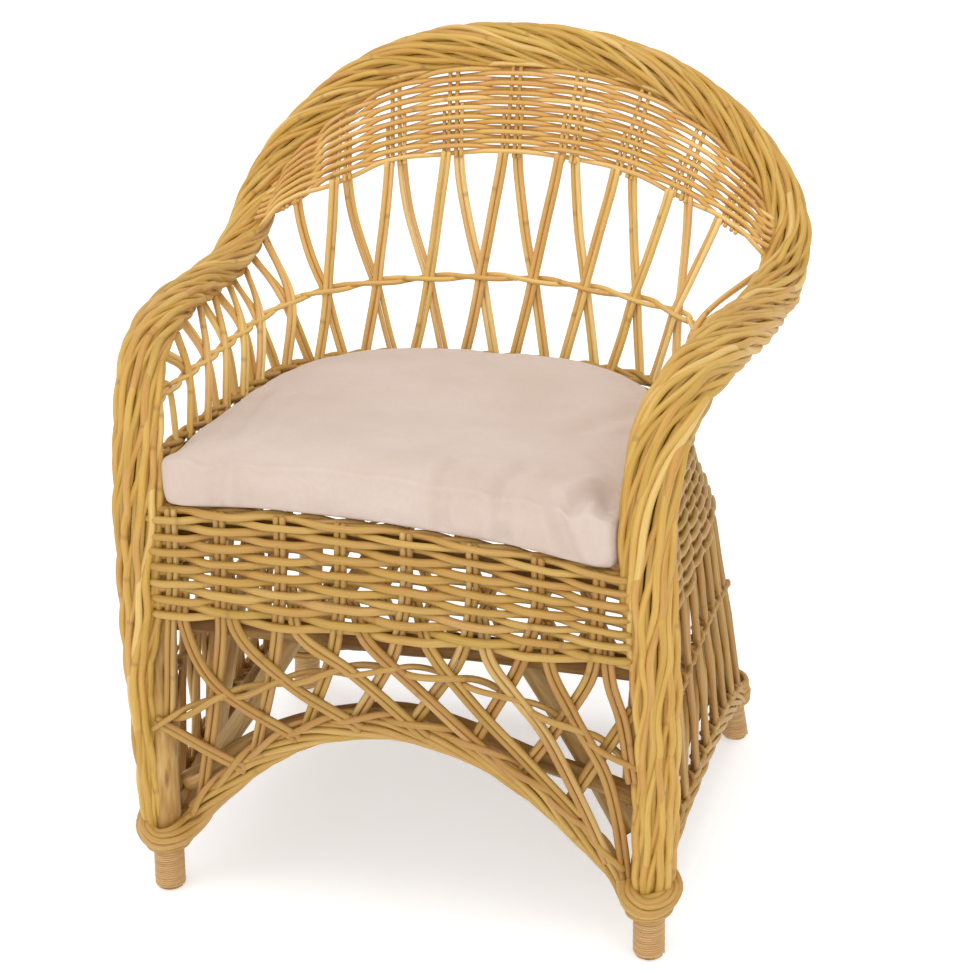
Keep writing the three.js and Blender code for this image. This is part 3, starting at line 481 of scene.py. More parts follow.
def pole_material():
    M = Mat("peeled_pole")
    rid = M.attr("rodid", "Fac")
    tone = M.attr("tone", "Fac")
    painted_shade = M.attr("painted_shade", "Fac")
    sep = M.node("ShaderNodeSeparateXYZ")
    M.link(M.attr("rodspace", "Vector"), sep.inputs[0])
    cx, cy, cz = sep.outputs
    shift = M.math("MULTIPLY", rid, 37.1)
    v = M.comb(M.math("MULTIPLY_ADD", cx, 3.0, shift), M.math("MULTIPLY", cy, 3.0), M.math("MULTIPLY", cz, 22.0))
    grain = M.noise(v, 1.5, 5.0, 0.6, 0.3)
    v2 = M.comb(M.math("MULTIPLY_ADD", cx, 0.8, shift), M.math("MULTIPLY", cy, 0.8), M.math("MULTIPLY", cz, 9.0))
    blotch = M.noise(v2, 1.2, 2.0, 0.5)
    base = M.ramp(
        M.math("MULTIPLY_ADD", M.math("SUBTRACT", tone, 0.5), 0.8, blotch),
        [(0.25, srgb(128, 88, 34)), (0.45, srgb(160, 120, 58)), (0.6, srgb(184, 146, 84)), (0.8, srgb(206, 176, 124))],
    )
    base = M.mix(M.map(grain, 0.42, 0.7, 0.0, 0.6), base, M.mix(1.0, base, (0.6, 0.5, 0.38), "MULTIPLY"))
    knot = M.node("ShaderNodeTexVoronoi")
    kv = M.comb(M.math("MULTIPLY_ADD", cx, 0.9, shift), M.math("MULTIPLY", cy, 0.9), M.math("MULTIPLY", cz, 13.0))
    M.link(kv, knot.inputs["Vector"])
    knot.inputs["Scale"].default_value = 1.0
    kd = M.map(knot.outputs["Distance"], 0.05, 0.2, 1.0, 0.0)
    base = M.mix(M.math("MULTIPLY", kd, 0.75), base, srgb(88, 52, 22))
    # Painted shade: each pole is mixed towards a shade brown by its own share, standing in for the shadow under the
    # seat and inside the rim.
    base = M.mix(painted_shade, base, srgb(84, 46, 12))
    M.link(base, M.b.inputs["Base Color"])
    M.link(M.map(grain, 0.3, 0.7, 0.45, 0.65), M.b.inputs["Roughness"])
    M.b.inputs["Specular IOR Level"].default_value = 0.35
    h = M.math("ADD", grain, M.math("MULTIPLY", kd, -0.8))
    M.link(M.bump(h, 0.4, 0.0012), M.b.inputs["Normal"])
    return M.m


MAT_POLE = pole_material()


def cane_material():
    M = Mat("cane_binding")
    rid = M.attr("rodid", "Fac")
    sep = M.node("ShaderNodeSeparateXYZ")
    M.link(M.attr("rodspace", "Vector"), sep.inputs[0])
    cx, cy, cz = sep.outputs
    v = M.comb(M.math("MULTIPLY_ADD", rid, 31.0, cx), cy, M.math("MULTIPLY", cz, 90.0))
    n = M.noise(v, 1.0, 3.0, 0.6)
    v2 = M.comb(M.math("MULTIPLY_ADD", rid, 31.0, cx), cy, M.math("MULTIPLY", cz, 12.0))
    n2 = M.noise(v2, 1.0, 2.0, 0.5)
    base = M.ramp(M.math("MULTIPLY_ADD", n, 0.4, M.math("MULTIPLY", n2, 0.6)), [(0.3, srgb(160, 118, 66)), (0.5, srgb(188, 148, 92)), (0.7, srgb(208, 174, 120))])
    M.link(base, M.b.inputs["Base Color"])
    M.link(M.map(n, 0.3, 0.7, 0.35, 0.5), M.b.inputs["Roughness"])
    M.link(M.bump(n, 0.25, 0.0004), M.b.inputs["Normal"])
    return M.m


MAT_CANE = cane_material()

# ------------------------------------------------------------------ drawing, as in the frame
FRONT_LEG = [[268, -252, 0], [266, -247, 120], [259, -240, 280], [254, -236, 436]]
BACK_LEG = [[284, 226, 0], [276, 217, 60], [262, 200, 150], [240, 174, 290], [214, 144, 434]]
RIM = [
    [270, -250, 98], [272, -249, 150], [272, -251, 223], [271, -254, 297], [267, -257, 370], [262, -258, 439],
    [260, -250, 502], [265, -228, 556], [279, -178, 591], [296, -95, 604], [310, 12, 601], [319, 125, 596],
    [324, 205, 610], [320, 250, 643], [299, 276, 688], [262, 289, 733], [215, 293, 773], [150, 292, 808],
    [80, 288, 828], [0, 286, 834],
]  # fmt: skip
FITCH = [[0, 218, 576], [63, 215, 574], [125, 207, 569], [184, 189, 563], [227, 152, 559], [252, 100, 553], [261, 44, 549], [263, -16, 547], [266, -76, 546], [267, -136, 545], [265, -200, 543]]
BAND_BOTTOM = [[0, 238, 718], [69, 234, 716], [139, 228, 703], [206, 216, 681], [262, 203, 654], [284, 200, 640]]
WALL_444 = [[0, 196], [63, 193], [124, 183], [176, 160], [216, 124], [239, 78], [249, 24], [253, -34], [256, -94], [257, -154], [256, -214]]
WALL_487 = [[0, 200], [63, 197], [124, 188], [178, 166], [219, 130], [240, 83], [247, 28], [249, -31], [251, -91], [252, -151], [252, -211]]
SIDE_LEVELS = [
    [487, [[256, -222], [255, -140], [253, -55], [249, 16], [241, 76], [226, 124]]],
    [444, [[258, -222], [259, -140], [256, -55], [251, 14], [241, 72], [222, 122]]],
    [337, [[264, -226], [268, -145], [270, -60], [270, 20], [266, 95], [254, 164]]],
    [200, [[268, -230], [274, -145], [279, -58], [281, 30], [281, 112], [277, 192]]],
    [56, [[269, -234], [277, -146], [284, -56], [289, 36], [292, 128], [292, 214]]],
]
BACK_LEVELS = [
    [487, [[-214, 142], [-150, 180], [-76, 197], [0, 201], [76, 197], [150, 180], [214, 142]]],
    [444, [[-210, 140], [-150, 174], [-76, 192], [0, 196], [76, 192], [150, 174], [210, 140]]],
    [337, [[-244, 180], [-165, 200], [-82, 209], [0, 211], [82, 209], [165, 200], [244, 180]]],
    [200, [[-268, 206], [-176, 217], [-88, 222], [0, 223], [88, 222], [176, 217], [268, 206]]],
    [56, [[-284, 232], [-186, 235], [-93, 236], [0, 236], [93, 236], [186, 235], [284, 232]]],
]
FRONT_ARCH = [[-238, 79], [-218, 106], [-187, 139], [-150, 175], [-103, 207], [-57, 225], [0, 234], [57, 225], [103, 207], [150, 175], [187, 139], [218, 106], [238, 79]]


def flip(pts, sgn):
    return [[p[0] * sgn, *p[1:]] for p in pts]


def full(half):
    return flip(half, -1)[::-1] + half[1:]


def front_y(x, z):
    x, z = np.asarray(x, float), np.asarray(z, float)
    return np.interp(z, [60, 220, 335, 444], [-243, -259, -266, -266]) - 4 * (1 - (x / 240) ** 2)


def front_pt(x, z):
    x, z = np.broadcast_arrays(np.asarray(x, float), np.asarray(z, float))
    return np.stack([x, front_y(x, z), z], -1)


class Wall:
    """A wall ruled between level curves; u along it, z up it."""

    def __init__(self, levels, sgn=1):
        self.z = [z for z, _ in levels]
        self.c = [Line([[x * sgn, y, z] for x, y in pts]) for z, pts in levels]

    def __call__(self, u, z):
        u, z = np.broadcast_arrays(np.asarray(u, float), np.asarray(z, float))
        P = np.stack([c.raw(u) for c in self.c])  # levels from the top down
        zs = np.array(self.z, float)
        i = np.clip(np.searchsorted(-zs, -z, side="left") - 1, 0, len(zs) - 2)
        k = ((z - zs[i]) / (zs[i + 1] - zs[i]))[..., None]
        idx = np.arange(i.size).reshape(i.shape)
        flat = P.reshape(len(zs), -1, 3)
        a = flat[i.ravel(), idx.ravel()].reshape(*i.shape, 3)
        b = flat[(i + 1).ravel(), idx.ravel()].reshape(*i.shape, 3)
        return a + (b - a) * k


SIDE_WALL = {"left": Wall(SIDE_LEVELS, -1), "right": Wall(SIDE_LEVELS, 1)}
BACK_WALL = Wall(BACK_LEVELS)


def normals_of(surface, U, W, outward):
    """Unit normals of surface(u, w) at arrays, turned to agree with outward."""
    e = 1e-3
    du = surface(U + e, W) - surface(U - e, W)
    dz = surface(U, W + 0.5) - surface(U, W - 0.5)
    n = unit(np.cross(du, dz))
    s = np.sign(np.sum(n * outward, -1, keepdims=True))
    return n * np.where(s == 0, 1, s)


# ------------------------------------------------------------------ woven cloth of rods
def weave_rows(B, surface, u0, u1, zs, stakes, outward, r=3.0, amp=5.6, step=5.0, width=9.0, jitter=0.5, tone=None, phase=0, painted_shade=0.0, ends=None):
    """Rows that pass in front of and behind the stakes in turn. stakes: u of each group."""
    stakes = np.asarray(stakes, float)
    probe = surface(np.linspace(u0, u1, 60), np.full(60, float(np.mean(zs))))
    L = arc(probe)[-1]
    n = int(L / step) + 2
    for j, z in enumerate(zs):
        u = np.linspace(u0, u1, n)
        mid = surface(u, np.full(n, float(z)))
        s = arc(mid)
        ks = np.interp(stakes, u, s)
        kk = np.concatenate([[ks[0] - 66], ks, [ks[-1] + 66]])
        sign = np.array([1 if (j + k + phase) % 2 else -1 for k in range(len(kk))], float)
        i = np.clip(np.searchsorted(kk, s) - 1, 0, len(kk) - 2)
        t = (s - kk[i]) / (kk[i + 1] - kk[i])
        pad = np.clip(width / (kk[i + 1] - kk[i]), 0, 0.3)
        t = smooth((t - pad) / (1 - 2 * pad))
        wave = sign[i] * (1 - t) + sign[i + 1] * t
        n_ = normals_of(surface, u, np.full(n, float(z)), outward)
        rz = drift(s, B.rng, jitter, (50, 110, 210))
        rn = drift(s, B.rng, jitter * 0.7, (70, 150))
        path = mid + n_ * (wave * amp + rn)[:, None] + np.array([0, 0, 1.0]) * rz[:, None]
        rr = r * B.rng.uniform(0.9, 1.1) * (1 + 0.05 * np.sin(s / 83 + B.rng.uniform(0, 6)))
        tn = B.rng.uniform(0.3, 0.7) if tone is None else tone
        B.rod(path, rr, tone=tn, painted_shade=painted_shade)


def stake_group(B, surface, u, z0, z1, count, r=3.1, gap=2.05, step=7.0, tone=None, painted_shade=0.0, outward=None, slant=0.0, per=None):
    """Upright rods side by side, centred on u."""
    n = max(3, int(abs(z1 - z0) / step) + 1)
    z = np.linspace(z0, z1, n)
    mid = surface(np.full(n, u), z)
    ds = surface(np.full(n, u + 1e-3), z) - surface(np.full(n, u - 1e-3), z)
    side = unit(ds)
    for k in range(count):
        off = (k - (count - 1) / 2) * gap * r
        s = arc(mid)
        p = mid + side * (off + drift(s, B.rng, 0.4, (90, 180)))[:, None]
        B.rod(p, r * B.rng.uniform(0.93, 1.07), tone=B.rng.uniform(0.35, 0.8) if tone is None else tone, painted_shade=painted_shade)


def pair(B, path, surf_n, r=2.75, sep=1.06, tone=None, painted_shade=0.0, lift=None):
    """Two rods side by side along path, which lies in a wall with normal surf_n."""
    T = tangents(path)
    N = unit(np.broadcast_to(np.asarray(surf_n, float), path.shape))
    side = unit(np.cross(T, N))
    s = arc(path)
    sway = drift(s, B.rng, 0.5, (90, 180))
    for k in (-1, 1):
        rr = r * B.rng.uniform(0.95, 1.08)
        w = side * (k * r * sep + sway + drift(s, B.rng, 0.14, (80, 160)))[:, None]
        o = N * drift(s, B.rng, 0.3, (90, 170))[:, None]
        B.rod(path + w + o, rr, tone=B.rng.uniform(0.25, 0.8) if tone is None else tone, painted_shade=painted_shade)


def twine(B, line_pts, normal, cross_s, r=2.5, depth=7.5, height=2.7, strands=2, tone=None, painted_shade=0.0, start=0.0):
    """Strands that twist once round each crossing: cross_s are the arc lengths of the crossings."""
    s = arc(line_pts)
    cs = np.asarray(cross_s, float)
    ph = np.interp(s, cs, np.arange(len(cs)) * math.pi)
    left, right = s < cs[0], s > cs[-1]
    if len(cs) > 1:
        ph[left] = (s[left] - cs[0]) / (cs[1] - cs[0]) * math.pi
        ph[right] = (len(cs) - 1) * math.pi + (s[right] - cs[-1]) / (cs[-1] - cs[-2]) * math.pi
    N = unit(np.broadcast_to(np.asarray(normal, float), line_pts.shape))
    T = tangents(line_pts)
    up = unit(np.cross(N, T))
    up *= np.sign(up[:, 2:3] + 1e-9)
    for k in range(strands):
        a = ph + start + k * 2 * math.pi / strands
        c, sn = np.cos(a), np.sin(a)
        c = np.sign(c) * np.abs(c) ** 0.75
        p = line_pts + N * (c * depth)[:, None] + up * (sn * height + drift(s, B.rng, 0.3, (90, 170)))[:, None]
        B.rod(p, r * B.rng.uniform(0.94, 1.08), tone=B.rng.uniform(0.3, 0.75) if tone is None else tone, painted_shade=painted_shade)


def rope(B, path, ref, count, a, b, r, pitch, tone=None, jitter=0.6, phase=0.0, taper=(0, 0), turn=1, painted_shade=0.0, squeeze=0.0):
    """Rods twisted round a path, on an ellipse a by b round it."""
    T = tangents(path)
    R = unit(np.broadcast_to(np.asarray(ref, float), path.shape))
    w = unit(R - T * np.sum(R * T, 1, keepdims=True))
    d = np.cross(T, w)
    s = arc(path)
    L = s[-1]
    for k in range(count):
        th = 2 * math.pi * (k / count + phase) + turn * 2 * math.pi * s / pitch
        th = th + drift(s, B.rng, 0.16, (90, 180))
        g = 1 + drift(s, B.rng, 0.09, (70, 150))
        f = np.ones_like(s)
        if taper[0]:
            f *= np.clip(0.45 + 0.55 * s / taper[0], 0, 1)
        if taper[1]:
            f *= np.clip(0.45 + 0.55 * (L - s) / taper[1], 0, 1)
        p = path + w * (np.cos(th) * a * g * f)[:, None] + d * (np.sin(th) * b * g * f)[:, None]
        B.rod(p, r * B.rng.uniform(0.92, 1.08), tone=B.rng.uniform(0.25, 0.75) if tone is None else tone, painted_shade=painted_shade)


def resample(pts, step=6.0, line=None):
    L = Line(pts) if line is None else line
    n = max(3, int(L.length / step) + 1)
    return L.at(np.linspace(0, 1, n))


# ------------------------------------------------------------------ rim
RIM_ALL = flip(RIM, -1) + RIM[:-1][::-1]
RIM_LINE = Line(RIM_ALL)
RIM_TILT = [[480, 0], [560, -60], [600, -110], [618, -80], [650, 20], [690, 120], [733, 190], [773, 260], [834, 354]]
RIM_HALF = [[0, 24], [0.05, 25], [0.12, 29], [0.18, 30], [0.26, 30.5], [0.31, 29], [0.36, 27.5], [0.5, 27]]
RIM_DEPTH = 21.0


def rim_side(P):
    return np.stack([P[:, 0], np.zeros(len(P)), tab(RIM_TILT, P[:, 2])], -1)


def rim_frame(n, u0=0.0, u1=1.0):
    u = np.linspace(u0, u1, n)
    P = RIM_LINE.at(u)
    T = tangents(P)
    w = rim_side(P)
    w = unit(w - T * np.sum(w * T, 1, keepdims=True))
    d = np.cross(T, w)
    half = tab(RIM_HALF, np.where(u > 0.5, 1 - u, u))
    return u, P, T, w, d, half


def build_rim():
    B = Bundle("rim_weave", 11)
    n = 470
    u, P, T, w, d, half = rim_frame(n)
    depth = np.full(n, RIM_DEPTH)
    # the rods run on down past the ends of the frame's rim, into the wraps round the ankles
    m = 9
    k = (np.arange(m, 0, -1) * 4.2)[:, None]
    a0, a1 = -k, k[::-1]
    P = np.vstack([P[0] + T[0] * a0, P, P[-1] + T[-1] * a1])
    T = np.vstack([np.repeat(T[:1], m, 0), T, np.repeat(T[-1:], m, 0)])
    w = np.vstack([np.repeat(w[:1], m, 0), w, np.repeat(w[-1:], m, 0)])
    d = np.vstack([np.repeat(d[:1], m, 0), d, np.repeat(d[-1:], m, 0)])
    shrink = np.linspace(0.8, 1.0, m)
    half = np.concatenate([half[0] * shrink, half, half[-1] * shrink[::-1]])
    depth = np.concatenate([depth[0] * shrink, depth, depth[-1] * shrink[::-1]])
    u = np.concatenate([np.zeros(m), u, np.ones(m)])
    s = arc(P)
    um = np.where(u > 0.5, 1 - u, u)
    # the left post's rods leave the inner side of the pole bare low down
    left = np.where(u < 0.5, 1.0, 0.0)
    bare = left * (9.0 * smooth((350 - P[:, 2]) / 110) + 3.5 * np.exp(-(((um - 0.175) / 0.035) ** 2)))
    P = P - np.array([1.0, 0, 0]) * bare[:, None]
    half = half - bare
    pitch = tab([[0, 1500], [0.08, 1100], [0.14, 620], [0.2, 410], [0.3, 380], [0.38, 400], [0.5, 410]], um)
    theta = np.concatenate([[0], np.cumsum(2 * math.pi / (0.5 * (pitch[1:] + pitch[:-1])) * np.diff(s))])
    rad = tab([[0, 4.1], [0.22, 4.1], [0.33, 3.75], [0.42, 3.55], [0.5, 3.5]], um)
    play = tab([[0, 1.0], [0.28, 1.0], [0.38, 0.85], [0.5, 0.8]], um)
    N = 20
    for i in range(N):
        k = i % 2
        if k == 0:
            lam = B.rng.uniform(96, 142)
            ph = B.rng.uniform(0, 2 * math.pi)
            wav = 2 * math.pi * s / lam + ph + drift(s, B.rng, 0.5, (300, 500))
        sg = 1 if k else -1
        lay = play * (sg * 2.1 * np.sin(wav) + drift(s, B.rng, 0.4, (80, 170)))
        th = 2 * math.pi * i / N + theta + play * sg * (0.44 * 2 * math.pi / N) * np.cos(wav) + drift(s, B.rng, 0.05, (110, 220))
        r = rad * B.rng.uniform(0.92, 1.08)
        a = half - r + lay - 1.4
        b = depth - r + lay - 1.4
        p = P + w * (np.cos(th) * a)[:, None] + d * (np.sin(th) * b)[:, None]
        B.rod(p, r, sides=10, tone=B.rng.uniform(0.2, 0.75), ref=None)
    # An inner layer of rods fills the rim's core; they carry painted shade, for the dark seen between the outer rods.
    for i in range(16):
        th = 2 * math.pi * i / 16 + theta * 0.6
        a, b = half - 8.2, depth - 8.0
        p = P + w * (np.cos(th) * a)[:, None] + d * (np.sin(th) * b)[:, None]
        B.rod(p[::2], 3.7, sides=6, tone=0.5, painted_shade=0.3)
    return B.build(MAT_RIM, replaces=["left_arm_rim", "back_rim", "right_arm_rim"], slot="willow")


build_rim()

# ------------------------------------------------------------------ ankles, borders, feet
BORDERS = Bundle("bottom_borders", 21)
ANKLES = Bundle("ankle_wraps", 22)


def leg_at(row, sgn, z):
    pts = np.array(flip(FRONT_LEG if row == "front" else BACK_LEG, sgn), float)
    return np.array([np.interp(z, pts[:, 2], pts[:, 0]), np.interp(z, pts[:, 2], pts[:, 1])])


def build_ankles():
    B = ANKLES
    for row in ("front", "back"):
        for sgn in (-1, 1):
            face = math.atan2(-1 if row == "front" else 1, sgn * 0.8)
            for k in range(3 if row == "front" else 5):
                z0 = (51.5 if row == "front" else 54) + k * 6.6
                phi = np.linspace(0, 2 * math.pi, 44) + face + math.pi
                lift = 2.6 * np.cos(phi - face) * (1 if k % 2 else 0.4)
                rr = tab([[50, 20.5], [58, 22.5], [66, 23.5], [88, 26], [100, 23.5]], z0)
                rad = rr + 1.1 * np.sin(phi * 2 + k) + B.rng.uniform(-0.4, 0.8)
                z = z0 + lift + (phi - phi[0]) / (2 * math.pi) * 3.0
                c = np.array([leg_at(row, sgn, zz) for zz in z])
                p = np.stack([c[:, 0] + rad * np.cos(phi), c[:, 1] + rad * np.sin(phi), z], -1)
                B.rod(p, 3.4 * B.rng.uniform(0.95, 1.08), tone=B.rng.uniform(0.3, 0.7))
    return B.build(MAT_WEAVE_SHADED, replaces=[f"{r}_{s}_ankle_wrap" for r in ("front", "back") for s in ("left", "right")], slot="willow")


build_ankles()


def side_arch(u):
    return 64 + 44 * np.sin(math.pi * np.clip(u, 0, 1)) ** 0.8


def back_arch(u):
    return 62 + 14 * np.sin(math.pi * np.clip(u, 0, 1)) ** 0.8


def build_borders():
    B = Bundle("front_bottom_border_rods", 23)
    turn = [[-268, -224, 88], [-285, -231, 86], [-291, -248, 82], [-286, -265, 75], [-269, -273, 69], [-252, -267, 71]]
    pts = turn + [[x, float(front_y(x, z)) + 3, z] for x, z in FRONT_ARCH] + flip(turn, -1)[::-1]
    path = resample(pts, 5)
    rope(B, path, (0, 1, 0), 8, 5.2, 9.8, 3.75, 330, taper=(70, 70), jitter=0.4)
    # The inner ropes, and the whole back border, carry painted shade for the shadow low down inside the chair.
    rope(B, path, (0, 1, 0), 3, 1.5, 4.5, 3.4, 300, painted_shade=0.4, taper=(60, 60))
    B.build(MAT_WEAVE_SHADED, replaces=["front_bottom_border"], slot="willow")
    for side, sgn in (("left", -1), ("right", 1)):
        B = Bundle(f"{side}_bottom_border_rods", 24 + sgn)
        u = np.linspace(0.0, 1.0, 15)
        path = resample(SIDE_WALL[side](u, side_arch(u)), 6)
        rope(B, path, (1, 0, 0), 7, 5.6, 9.6, 3.4, 250)
        rope(B, path, (1, 0, 0), 3, 1.5, 4.5, 3.4, 300, painted_shade=0.4)
        B.build(MAT_WEAVE_SHADED, replaces=[f"{side}_bottom_border"], slot="willow")
    B = Bundle("back_bottom_border_rods", 28)
    u = np.linspace(0.0, 1.0, 15)
    path = resample(BACK_WALL(u, back_arch(u)), 6)
    rope(B, path, (0, 1, 0), 7, 5.6, 9.6, 3.4, 250, painted_shade=0.35)
    rope(B, path, (0, 1, 0), 3, 1.5, 4.5, 3.4, 300, painted_shade=0.5)
    B.build(MAT_WEAVE_SHADED, replaces=["back_bottom_border"], slot="willow")


build_borders()


def build_feet():
    B = Bundle("foot_bindings", 31)
    for row in ("front", "back"):
        for sgn in (-1, 1):
            pitch = 2.65
            z0, z1 = 3.6, 50.5
            turns = (z1 - z0) / pitch
            phi = np.linspace(0, turns * 2 * math.pi, int(turns * 26))
            z = z0 + phi / (2 * math.pi) * pitch
            a, b = leg_at(row, sgn, 0), leg_at(row, sgn, 50)
            c = a + (b - a) * (z / 50)[:, None]
            rad = 15.9 + 0.12 * np.sin(phi * 0.37 + sgn)
            p = np.stack([c[:, 0] + rad * np.cos(phi), c[:, 1] + rad * np.sin(phi), z], -1)
            ref = np.stack([np.cos(phi), np.sin(phi), np.zeros_like(phi)], -1)
            B.rod(p, 0.75, sides=8, ref=ref, flat=1.75)
    return B.build(MAT_CANE, replaces=[f"{r}_{s}_foot_binding" for r in ("front", "back") for s in ("left", "right")], slot="cane")


build_feet()


# ------------------------------------------------------------------ poles
def pole(B, pts, r, step=12, wob=0.8, tone=0.5, painted_shade=0.0, sides=18, line=None):
    path = resample(pts, step)
    s = arc(path)
    T = tangents(path)
    ref = np.eye(3)[int(np.argmin(np.abs(T).mean(0)))]
    w = unit(ref - T * (T @ ref)[:, None])
    d = np.cross(T, w)
    env = np.sqrt(np.clip(np.sin(math.pi * s / s[-1]), 0, 1))
    path = path + w * (drift(s, B.rng, wob, (150, 320)) * env)[:, None] + d * (drift(s, B.rng, wob, (150, 320)) * env)[:, None]
    rr = r * (1 + 0.02 * np.sin(s / 47 + B.rng.uniform(0, 6)) + 0.015 * np.sin(s / 19))
    B.rod(path, rr, sides=sides, tone=tone, painted_shade=painted_shade, tip=(0.02, 0.02))


def build_poles():
    B = Bundle("leg_poles", 41)
    for row, pts in (("front", FRONT_LEG), ("back", BACK_LEG)):
        for sgn in (-1, 1):
            pp = flip(pts, sgn)
            line = Line(pp)
            path = line.at(np.linspace(0, 1, 60))
            path[0, 2] = 0.4
            top = path[-1] + tangents(path)[-1] * 22
            path = np.vstack([path, top])
            s = arc(path)
            rr = 15 * (1 + 0.012 * np.sin(s / 41 + sgn)) - 0.6 * smooth((14 - s) / 14)
            B.rod(path, rr, sides=22, tone=0.62, tip=(0.001, 0.02))
    B.build(MAT_POLE, replaces=[f"{r}_{s}_leg" for r in ("front", "back") for s in ("left", "right")], slot="pole")

    B = Bundle("seat_frame_poles", 42)
    z = 419
    names = ["front_seat_rail", "back_seat_rail", "left_seat_rail", "right_seat_rail", "front_seat_bearer", "back_seat_bearer"]
    # The seat frame's poles carry painted shade, for the shadow under the seat.
    pole(B, [[-256, -238, z], [0, -240, z], [256, -238, z]], 13, painted_shade=0.25)
    pole(B, [[-214, 146, z], [-150, 165, z], [0, 176, z], [150, 165, z], [214, 146, z]], 13, painted_shade=0.25)
    for sgn in (-1, 1):
        pole(B, flip([[245, -236, z], [236, -120, z], [234, 0, z], [226, 80, z], [214, 142, z]], sgn), 13, painted_shade=0.25)
    for y in (-95, 45):
        pole(B, [[-236, y, z - 2], [0, y, z - 2], [236, y, z - 2]], 10.5, painted_shade=0.25)
    B.build(MAT_POLE, replaces=names, slot="pole")

    B = Bundle("lower_frame_poles", 43)
    # The lower rails behind and under the seat take darker tones, and the back ones a share of shade brown too: painted
    # shade, for rails in the chair's shadow.
    pole(B, [[-259, -226, 315], [0, -228, 317], [259, -226, 315]], 13, tone=0.35)
    pole(B, [[-236, 166, 300], [0, 180, 302], [236, 166, 300]], 13, tone=0.25, painted_shade=0.2)
    pole(B, [[-250, -226, 118], [-215, -223, 140], [-180, -220, 168], [-140, -218, 192], [-75, -215, 214], [0, -214, 227], [75, -215, 214], [140, -218, 194], [200, -222, 181], [256, -228, 168]], 11, tone=0.5)
    pole(B, [[-262, 203, 76], [-150, 206, 90], [0, 208, 95], [150, 206, 90], [262, 203, 76]], 10, tone=0.2, painted_shade=0.45)
    for sgn in (-1, 1):
        pole(B, flip([[260, -222, 80], [259, -165, 106], [259, -90, 122], [260, -10, 127], [262, 70, 120], [265, 140, 102], [270, 196, 80]], sgn), 10, tone=0.45)
    B.build(MAT_POLE, replaces=["front_lower_rail", "back_lower_rail", "front_arch_pole", "back_bottom_pole", "left_bottom_pole", "right_bottom_pole"], slot="pole")

    B = Bundle("brace_poles", 44)
    for sgn in (-1, 1):
        pole(B, flip([[236, -214, 118], [178, -200, 212], [118, -196, 306]], sgn), 11.5, tone=0.75)
        pole(B, flip([[232, -200, 118], [229, -140, 220], [224, -84, 330], [222, -44, 404]], sgn), 8, tone=0.85)
        # The back braces take a darker tone than the front ones: painted shade, for the shadow under the seat.
        pole(B, flip([[240, 178, 118], [178, 166, 205], [118, 164, 288]], sgn), 11.5, tone=0.45)
    B.build(MAT_POLE, replaces=[f"{r}_{s}_brace" for r in ("front", "back") for s in ("left", "right")] + ["left_side_brace", "right_side_brace"], slot="pole")

    B = Bundle("hoop_pole", 45)
    u, P, T, w, d, half = rim_frame(150, 0.145, 0.855)
    # The hoop inside the rim carries painted shade, for the shadow in the rim's core.
    B.rod(P, 10.6, sides=12, ref=w, tone=0.4, painted_shade=0.5)
    B.build(MAT_POLE, replaces=["arm_and_back_hoop"], slot="pole")


build_poles()


# ------------------------------------------------------------------ seat deck
def build_deck():
    B = Bundle("seat_deck_weave", 51)
    line = Line([[x, y, 0] for x, y in full(WALL_444)])
    edge = line.at(np.linspace(0, 1, 400))
    r = np.hypot(edge[:, 0], edge[:, 1] + 30)
    ex = edge[:, 0] * (1 - 12 / r)
    ey = (edge[:, 1] + 30) * (1 - 12 / r) - 30
    keep = ey > -222
    ex, ey = ex[keep], ey[keep]
    back = lambda x: float(np.interp(abs(x), ex[len(ex) // 2 :][: np.argmax(ex[len(ex) // 2 :]) + 1], ey[len(ex) // 2 :][: np.argmax(ex[len(ex) // 2 :]) + 1]))
    half_at = lambda y: float(np.interp(-y, -ey[len(ey) // 2 :], ex[len(ex) // 2 :]))
    # The deck's rods carry a share of painted shade, for the shadow under the cushion.
    xs = [-220, -176, -132, -88, -44, 0, 44, 88, 132, 176, 220]
    for k, x in enumerate(xs):
        for o in (-3.2, 3.2):
            yb = back(x) - 4
            y = np.linspace(-226, yb, 40)
            p = np.stack([np.full(40, x + o), y, np.full(40, 439.4)], -1)
            B.rod(p, 3.0, sides=6, tone=0.5, painted_shade=0.2)
    y = -222.0
    j = 0
    while y < 176:
        h = half_at(y) if y > -210 else 234
        if y > 150:
            h = min(h, half_at(y) * 0.98)
        n = max(6, int(2 * h / 6))
        x = np.linspace(-h, h, n)
        wave = np.cos(math.pi * x / 44) * (1 if j % 2 else -1)
        p = np.stack([x, np.full(n, y) + drift(x + 300, B.rng, 0.5), 439.4 + wave * 3.3], -1)
        B.rod(p, 2.9, sides=6, painted_shade=0.15, tone=B.rng.uniform(0.3, 0.7))
        y += 7.6
        j += 1
    B.build(MAT_WEAVE_SHADED, replaces=["seat_deck"], slot="willow")


build_deck()

